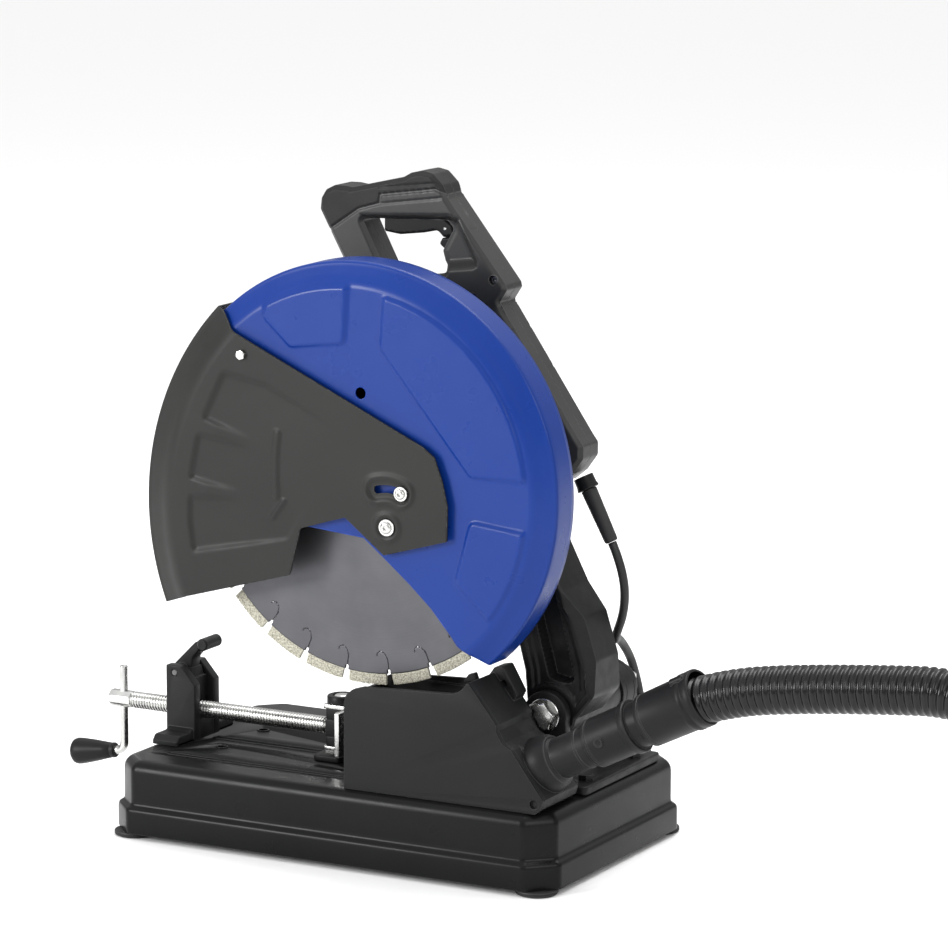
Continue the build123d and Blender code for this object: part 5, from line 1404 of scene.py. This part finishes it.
def make_arm():
    """The cast arm: raised edge ribs, a deep pocket, a side that falls back, the hub and the motor ring."""
    hull = hull_outline(SPINDLE, 50.4, MOTOR, 60.4)
    pocket = rounded(ARM_POCKET, 4, 3)

    def near(px, pz, depth):
        face = -35.6 + chamfer(depth, 2.2, 0.7)
        web = smooth_step(depth, 6.5, 8.5) * 1.8 + smooth_step(depth, 12, 14) * 1.2
        hub = np.hypot(px - PIVOT[0], pz - PIVOT[1])
        face = face + web * smooth_step(hub, 25, 27)
        face = face + 12 * smooth_step(polygon_distance(pocket, px, pz), -1, 2)
        past = (px - RIDGE_TOP[0]) * RIDGE_SIDE[0] + (pz - RIDGE_TOP[1]) * RIDGE_SIDE[1]
        side = np.clip(past, 0, 14) * 0.95 * smooth_step(hub, 24, 30) * (pz < 275)
        face = np.maximum(face, -35.6 + side)
        return np.where(polygon_distance(hull, px, pz) > 0, np.maximum(face, -29.8), face)

    def far(px, pz, depth):
        return 20 - chamfer(depth, 2.2, 0.7) - smooth_step(depth, 7, 10) * 2

    outline = rounded(ARM_OUTLINE, [3, 8, 12, 12, 10, 14, 10, 6, 6, 10, 14, 14, 10, 3], 4)
    hole = circle((MOTOR[0], MOTOR[1]), 50.3, 90)
    web = relief_solid("arm", outline, near, far, (), lambda px, pz: -polygon_distance(hole, px, pz), 1.1)
    hub = turned("arm", [(-35.5, 8.1), (-35.5, 23.4), (-34, 25), (54, 25), (56, 23), (56, 8.1)],
                 (PIVOT[0], 0, PIVOT[1]), Y_AXIS, 72)
    ring = turned("arm", [(-29.8, 50.4), (-29.8, 59.4), (-29.2, 60), (-19.4, 60), (-18, 58.6), (-18, 50.4)],
                  (MOTOR[0], 0, MOTOR[1]), Y_AXIS, 96)
    piece("swing_arm", [web, hub, ring], "arm", "head", "black_aluminium", ["arm"])


def make_gear_case():
    """The gear housing and its cover plate with rounded edges, and the spindle nose."""
    hull = hull_outline(SPINDLE, 49.9, MOTOR, 59.9)
    shell = flat_solid("case", hull, -60.9, -30, 2.5)
    piece("gear_case", shell, "arm", "head", "black_aluminium", ["gear_housing"])
    plate = flat_solid("cover", hull_outline(MOTOR, 30, SPINDLE, 50), -66, -61, 1.2)
    nose = turned("cover", [(0, 12.5), (0, 25.6), (1.2, 27), (9, 27), (10.6, 28.6), (10.6, 12.5)],
                  (SPINDLE[0], -76.5, SPINDLE[1]), Y_AXIS, 72)
    piece("gear_case_cover", [plate, nose], "arm", "head", "black_aluminium",
          ["gear_cover"])


def make_motor():
    """The motor's moulded barrel, with raised bands."""
    profile = [(-30, 48.6), (-29, 50), (-18, 50), (-17, 49.2), (-8, 49.2), (-7, 50), (52, 50), (53, 49.2),
               (60, 49.2), (61, 50), (86, 50), (87, 49.2), (92, 49.2), (93, 50), (103, 50), (104, 49.2),
               (104, 46), (-27, 46), (-27, 48)]
    barrel = turned("motor", profile, (MOTOR[0], 0, MOTOR[1]), Y_AXIS, 120)
    piece("motor_barrel", barrel, "plastic", "head", "black_plastic", ["motor_housing"])


# ------------------------------------------------------------------ handle

HANDLE_OUTLINE = [(-83, 566), (-82, 576), (-77, 584), (-68, 588.5), (-57, 588.5), (-50, 587.5), (2, 599.5),
                  (10, 604), (22, 606.5), (32, 604.5), (42, 595), (47.5, 583), (105.5, 510), (106.5, 505.5),
                  (99, 494), (178, 379), (183, 372.5), (183, 361), (173, 347), (160, 336.5), (90, 358), (16, 420),
                  (-8, 430)]
HANDLE_CORNERS = [4, 4, 4, 4, 3, 4, 8, 4, 6, 4, 5, 6, 2, 2, 3, 4, 3, 5, 4, 5, 6, 8, 8]
OPENING = [(-40, 560), (44, 563), (50, 556), (44, 545), (39, 536), (41.5, 527), (47, 517.5), (28, 512), (-13, 506),
           (-20, 522)]
HOLLOW = [(-43, 566), (50, 571), (60, 568), (73, 544), (80, 531), (79, 524), (74, 521), (47, 517.5), (28, 512),
          (-13, 506), (-20, 522)]
SEAM = [(-95, 530), (-72, 549), (-42, 569), (-21, 575), (-20, 583), (36, 591), (49, 585), (75, 587)]
COVER_CUT = SEAM + [(120, 640), (-120, 640)]
TRIGGER_POCKET = [(-26, 548), (-26, 578), (46, 582), (60, 566), (60, 531), (0, 528)]
HANDLE_SCREWS = [(94, 514), (75, 497), (-36, 512), (150, 390)]
TRIGGER_HINGE = (-13, 571)
LOCK_PIN = (40, 555)
HANDLE_HALF = 18
FINE_LINES = [[(-20.5, 589.6), (35.8, 596), (49, 585.2)], [(-18.7, 575), (39.6, 583.2), (48.4, 586)],
              [(96, 470), (114, 470.4), (134, 471.2)], [(130, 437.5), (140, 436.9)]]


def handle_face(px, pz, depth):
    """How far a side face lies inside the full width: a chamfer, a scoop round the hole and fine lines."""
    fall = 0.9 * chamfer(depth, 4, 1.2)
    scoop = polygon_distance(HOLLOW, px, pz)
    fall = fall + smooth_step(scoop, 0, 11) * 9
    fall = np.minimum(fall, 9.4)
    fall = fall + groove(line_distance(SEAM, px, pz), 1.8, 0.9)
    for line in FINE_LINES:
        fall = fall + groove(line_distance(line, px, pz), 1.6, 0.7)
    waist = smooth_step(line_distance([(60, 478), (112, 494)], px, pz), 0, 9)
    return fall + 1.6 * (1 - waist) * (depth > 0)


def handle_side(name, near, cover):
    """One side of the handle's housing or of its grip cover."""
    outline = rounded(HANDLE_OUTLINE, HANDLE_CORNERS, 4)
    opening = rounded(OPENING, [3, 4, 3, 4, 3, 3, 3, 6, 5, 4], 4)
    barrel = circle((MOTOR[0], MOTOR[1]), 50.4, 90)
    pocket = rounded(TRIGGER_POCKET, 2, 3)

    def keep(px, pz):
        inside = polygon_distance(COVER_CUT, px, pz) * (1 if cover else -1)
        value = np.minimum(inside - 0.05, -polygon_distance(barrel, px, pz))
        if near and not cover:
            for spot in HANDLE_SCREWS:
                value = np.minimum(value, np.hypot(px - spot[0], pz - spot[1]) - 4.2)
        return value

    def split(px, pz, depth):
        middle = 0.35 * (1 - smooth_step(depth, 0.2, 1.2))
        inner = np.where(polygon_distance(pocket, px, pz) > 0, 7.8, middle)
        return HANDLE_Y - inner if near else HANDLE_Y + inner

    def side(px, pz, depth):
        inset = HANDLE_HALF - handle_face(px, pz, depth)
        return HANDLE_Y - inset if near else HANDLE_Y + inset

    faces = (side, split) if near else (split, side)
    return relief_solid(name, outline, *faces, [opening], keep, 1.0)


def make_handle():
    """The handle: two moulded sides, a grip cover over the top, and their screws."""
    piece("handle_near_side", handle_side("near", True, False), "handle", "head", "handle_plastic",
          ["handle_front_half"])
    far = handle_side("far", False, False)
    hinge = disc("far", TRIGGER_HINGE, 2, HANDLE_Y - 7.8, HANDLE_Y + 9, 0.3, 0, 24)
    piece("handle_far_side", [far, hinge], "handle", "head", "handle_plastic", ["handle_back_half"])
    cover = [handle_side("cover", True, True), handle_side("cover", False, True)]
    piece("grip_shell", cover, "grip", "head", "grip_rubber", ["grip_cover"])
    screws = []
    for spot in HANDLE_SCREWS:
        screws.append(turned("screws", [(0, 1.4), (0, 3.4), (0.5, 4), (3, 4), (3, 2.2), (25, 2.2), (25, 0.01),
                                        (2, 0.01), (1.6, 1.4)], (spot[0], HANDLE_Y - 15, spot[1]), Y_AXIS, 32,
                                        False))
    piece("handle_fixings", screws, "dark_steel", "head", "zinc_steel", ["handle_screws"])


def make_trigger():
    """The trigger with finger scallops, and the small lock pad hinged on its tip."""
    outline = rounded([(-22, 549), (-22, 575), (-8, 576), (2, 564), (34, 568), (48, 558), (49, 549), (38, 547),
                       (32, 553), (18, 550), (-6, 547)], [2, 1.5, 3, 5, 5, 4, 2, 3, 4, 6, 4], 4)
    mesh = relief_solid("trigger", outline, lambda px, pz, d: HANDLE_Y - 7.4 + chamfer(d, 1.8, 0.5),
                        lambda px, pz, d: HANDLE_Y + 7.4 - chamfer(d, 1.8, 0.5), [circle(TRIGGER_HINGE, 2.1, 20)],
                        None, 0.8)
    piece("trigger_lever", mesh, "plastic", "trigger", NODES_SLOT["trigger"], ["trigger"])
    pad = rounded([(36, 546.2), (48, 548.2), (48.4, 541), (38, 536.8), (33, 541)], [1.2, 1.2, 2.2, 2.5, 2], 4)
    mesh = relief_solid("lock", pad, lambda px, pz, d: HANDLE_Y - 5.2 + chamfer(d, 1.2, 0.4),
                        lambda px, pz, d: HANDLE_Y + 5.2 - chamfer(d, 1.2, 0.4), (), None, 0.6)
    neck = [box_mesh("lock", (38, HANDLE_Y - 2, 545), (42, HANDLE_Y + 2, 555), 0.4),
            disc("lock", LOCK_PIN, 2.6, HANDLE_Y - 2, HANDLE_Y + 2, 0.3, 0, 24)]
    piece("lock_pad", [mesh, *neck], "plastic", "trigger_lock", NODES_SLOT["trigger_lock"],
          ["trigger_lock"])
    pin = disc("pin", LOCK_PIN, 1.4, HANDLE_Y - 7.7, HANDLE_Y + 7.7, 0.3, 0, 20)
    piece("lock_hinge_pin", pin, "zinc", "trigger_lock", "zinc_steel")


def make_cord_entry():
    """The round collar at the cord's entry and the smooth, tapering boot."""
    collar = turned("gland", [(-5, 0.6), (-5, 9), (3, 9.2), (5.6, 10), (6.6, 10), (7, 9.4), (7, 0.6)], BOOT_START,
                    BOOT_AXIS, 48)
    piece("cord_gland_nut", collar, "plastic", "head", "black_plastic", ["cord_gland"])
    profile = [(-3, 0.01), (-3, 4.9), (7, 4.9), (7.6, 7), (8.4, 7.2), (32, 6.7), (56, 6.1), (57.4, 5.6), (58, 4.6),
               (58, 0.01)]
    boot = turned("boot", profile, BOOT_START, BOOT_AXIS, 40, False)
    piece("strain_boot", boot, "rubber", "head", NODES_SLOT["cord_boot"], ["cord_boot"])


def make_guard_screws():
    """The two domed screws at the swinging guard's pivot and slot, and the hex bolt near its rim."""
    pivot = pan_screw("screws", FRONT_GUARD_PIVOT, 7.5, -127.3, 3.2)
    slot = pan_screw("screws", SLOT_SCREW, 6.5, -127.3, 3.2)
    shanks = [disc("screws", FRONT_GUARD_PIVOT, 3.9, -127.3, -116, 0.3, 0, 28),
              disc("screws", FRONT_GUARD_PIVOT, 7, -124.6, -120.1, 0.3, 0, 40),
              disc("screws", SLOT_SCREW, 2.9, -127.3, -116, 0.3, 0, 28),
              disc("screws", SLOT_SCREW, 5.5, -124.6, -120.1, 0.3, 0, 40)]
    piece("guard_screws", [pivot, slot, *shanks], "zinc", "head", "zinc_steel",
          ["guard_pivot_screws"])
    bolt = [hex_head("bolt", RIM_BOLT, 8, -130.5, -127, 20),
            disc("bolt", RIM_BOLT, 2.4, -127, -122, 0.3, 0, 20), hex_head("bolt", RIM_BOLT, 8, -124.9, -122)]
    piece("guard_rim_bolt", bolt, "zinc", "front_guard", "zinc_steel", ["guard_hex_bolt"])


# ------------------------------------------------------------------ CAD nodes that stay

SLOT_FINISH = {
    "black_coated_steel": "pan", "foot_rubber": "rubber", "zinc_steel": "zinc", "black_casting": "casting",
    "black_plastic": "plastic", "hose_plastic": "hose", "cord_rubber": "cord", "spring_steel": "dark_steel",
    "black_aluminium": "arm", "machined_steel": "steel", "handle_plastic": "handle", "grip_rubber": "grip",
    "blade_steel": "blade", "diamond_segment": "diamond", "blue_paint": "blue", "grey_coated_steel": "front_guard",
}


def finish_cad_nodes():
    """Gives every CAD node that stays its procedural material."""
    for name, slot in NODES_SLOT.items():
        # The deck bolts are zinc-plated but take the black casting finish: painted shade for the bolts beside the
        # pivot bracket, which lie in the shade under the hose.
        finish = {"stator": "copper", "deck_bolts": "casting"}.get(name, SLOT_FINISH[slot])
        for place in NODES[name].material_slots:
            place.material = MATERIALS[finish]


NODES_SLOT = {part["node"]: part["material_slot"] for part in frame["record"]["subparts"]}

make_camera()
make_stage()
MATERIALS = make_materials()
for make in (make_hose, make_cord, make_upper_guard, make_front_guard, make_guard_screws, make_base_pan,
             make_feet, make_dust_box, make_hose_fittings, make_nut_block, make_nut_lever, make_vise_screw,
             make_crank, make_vise_jaw, make_fence, make_blade, make_flanges, make_bracket, make_arm,
             make_gear_case, make_motor, make_handle, make_trigger, make_cord_entry):
    make()
finish_cad_nodes()
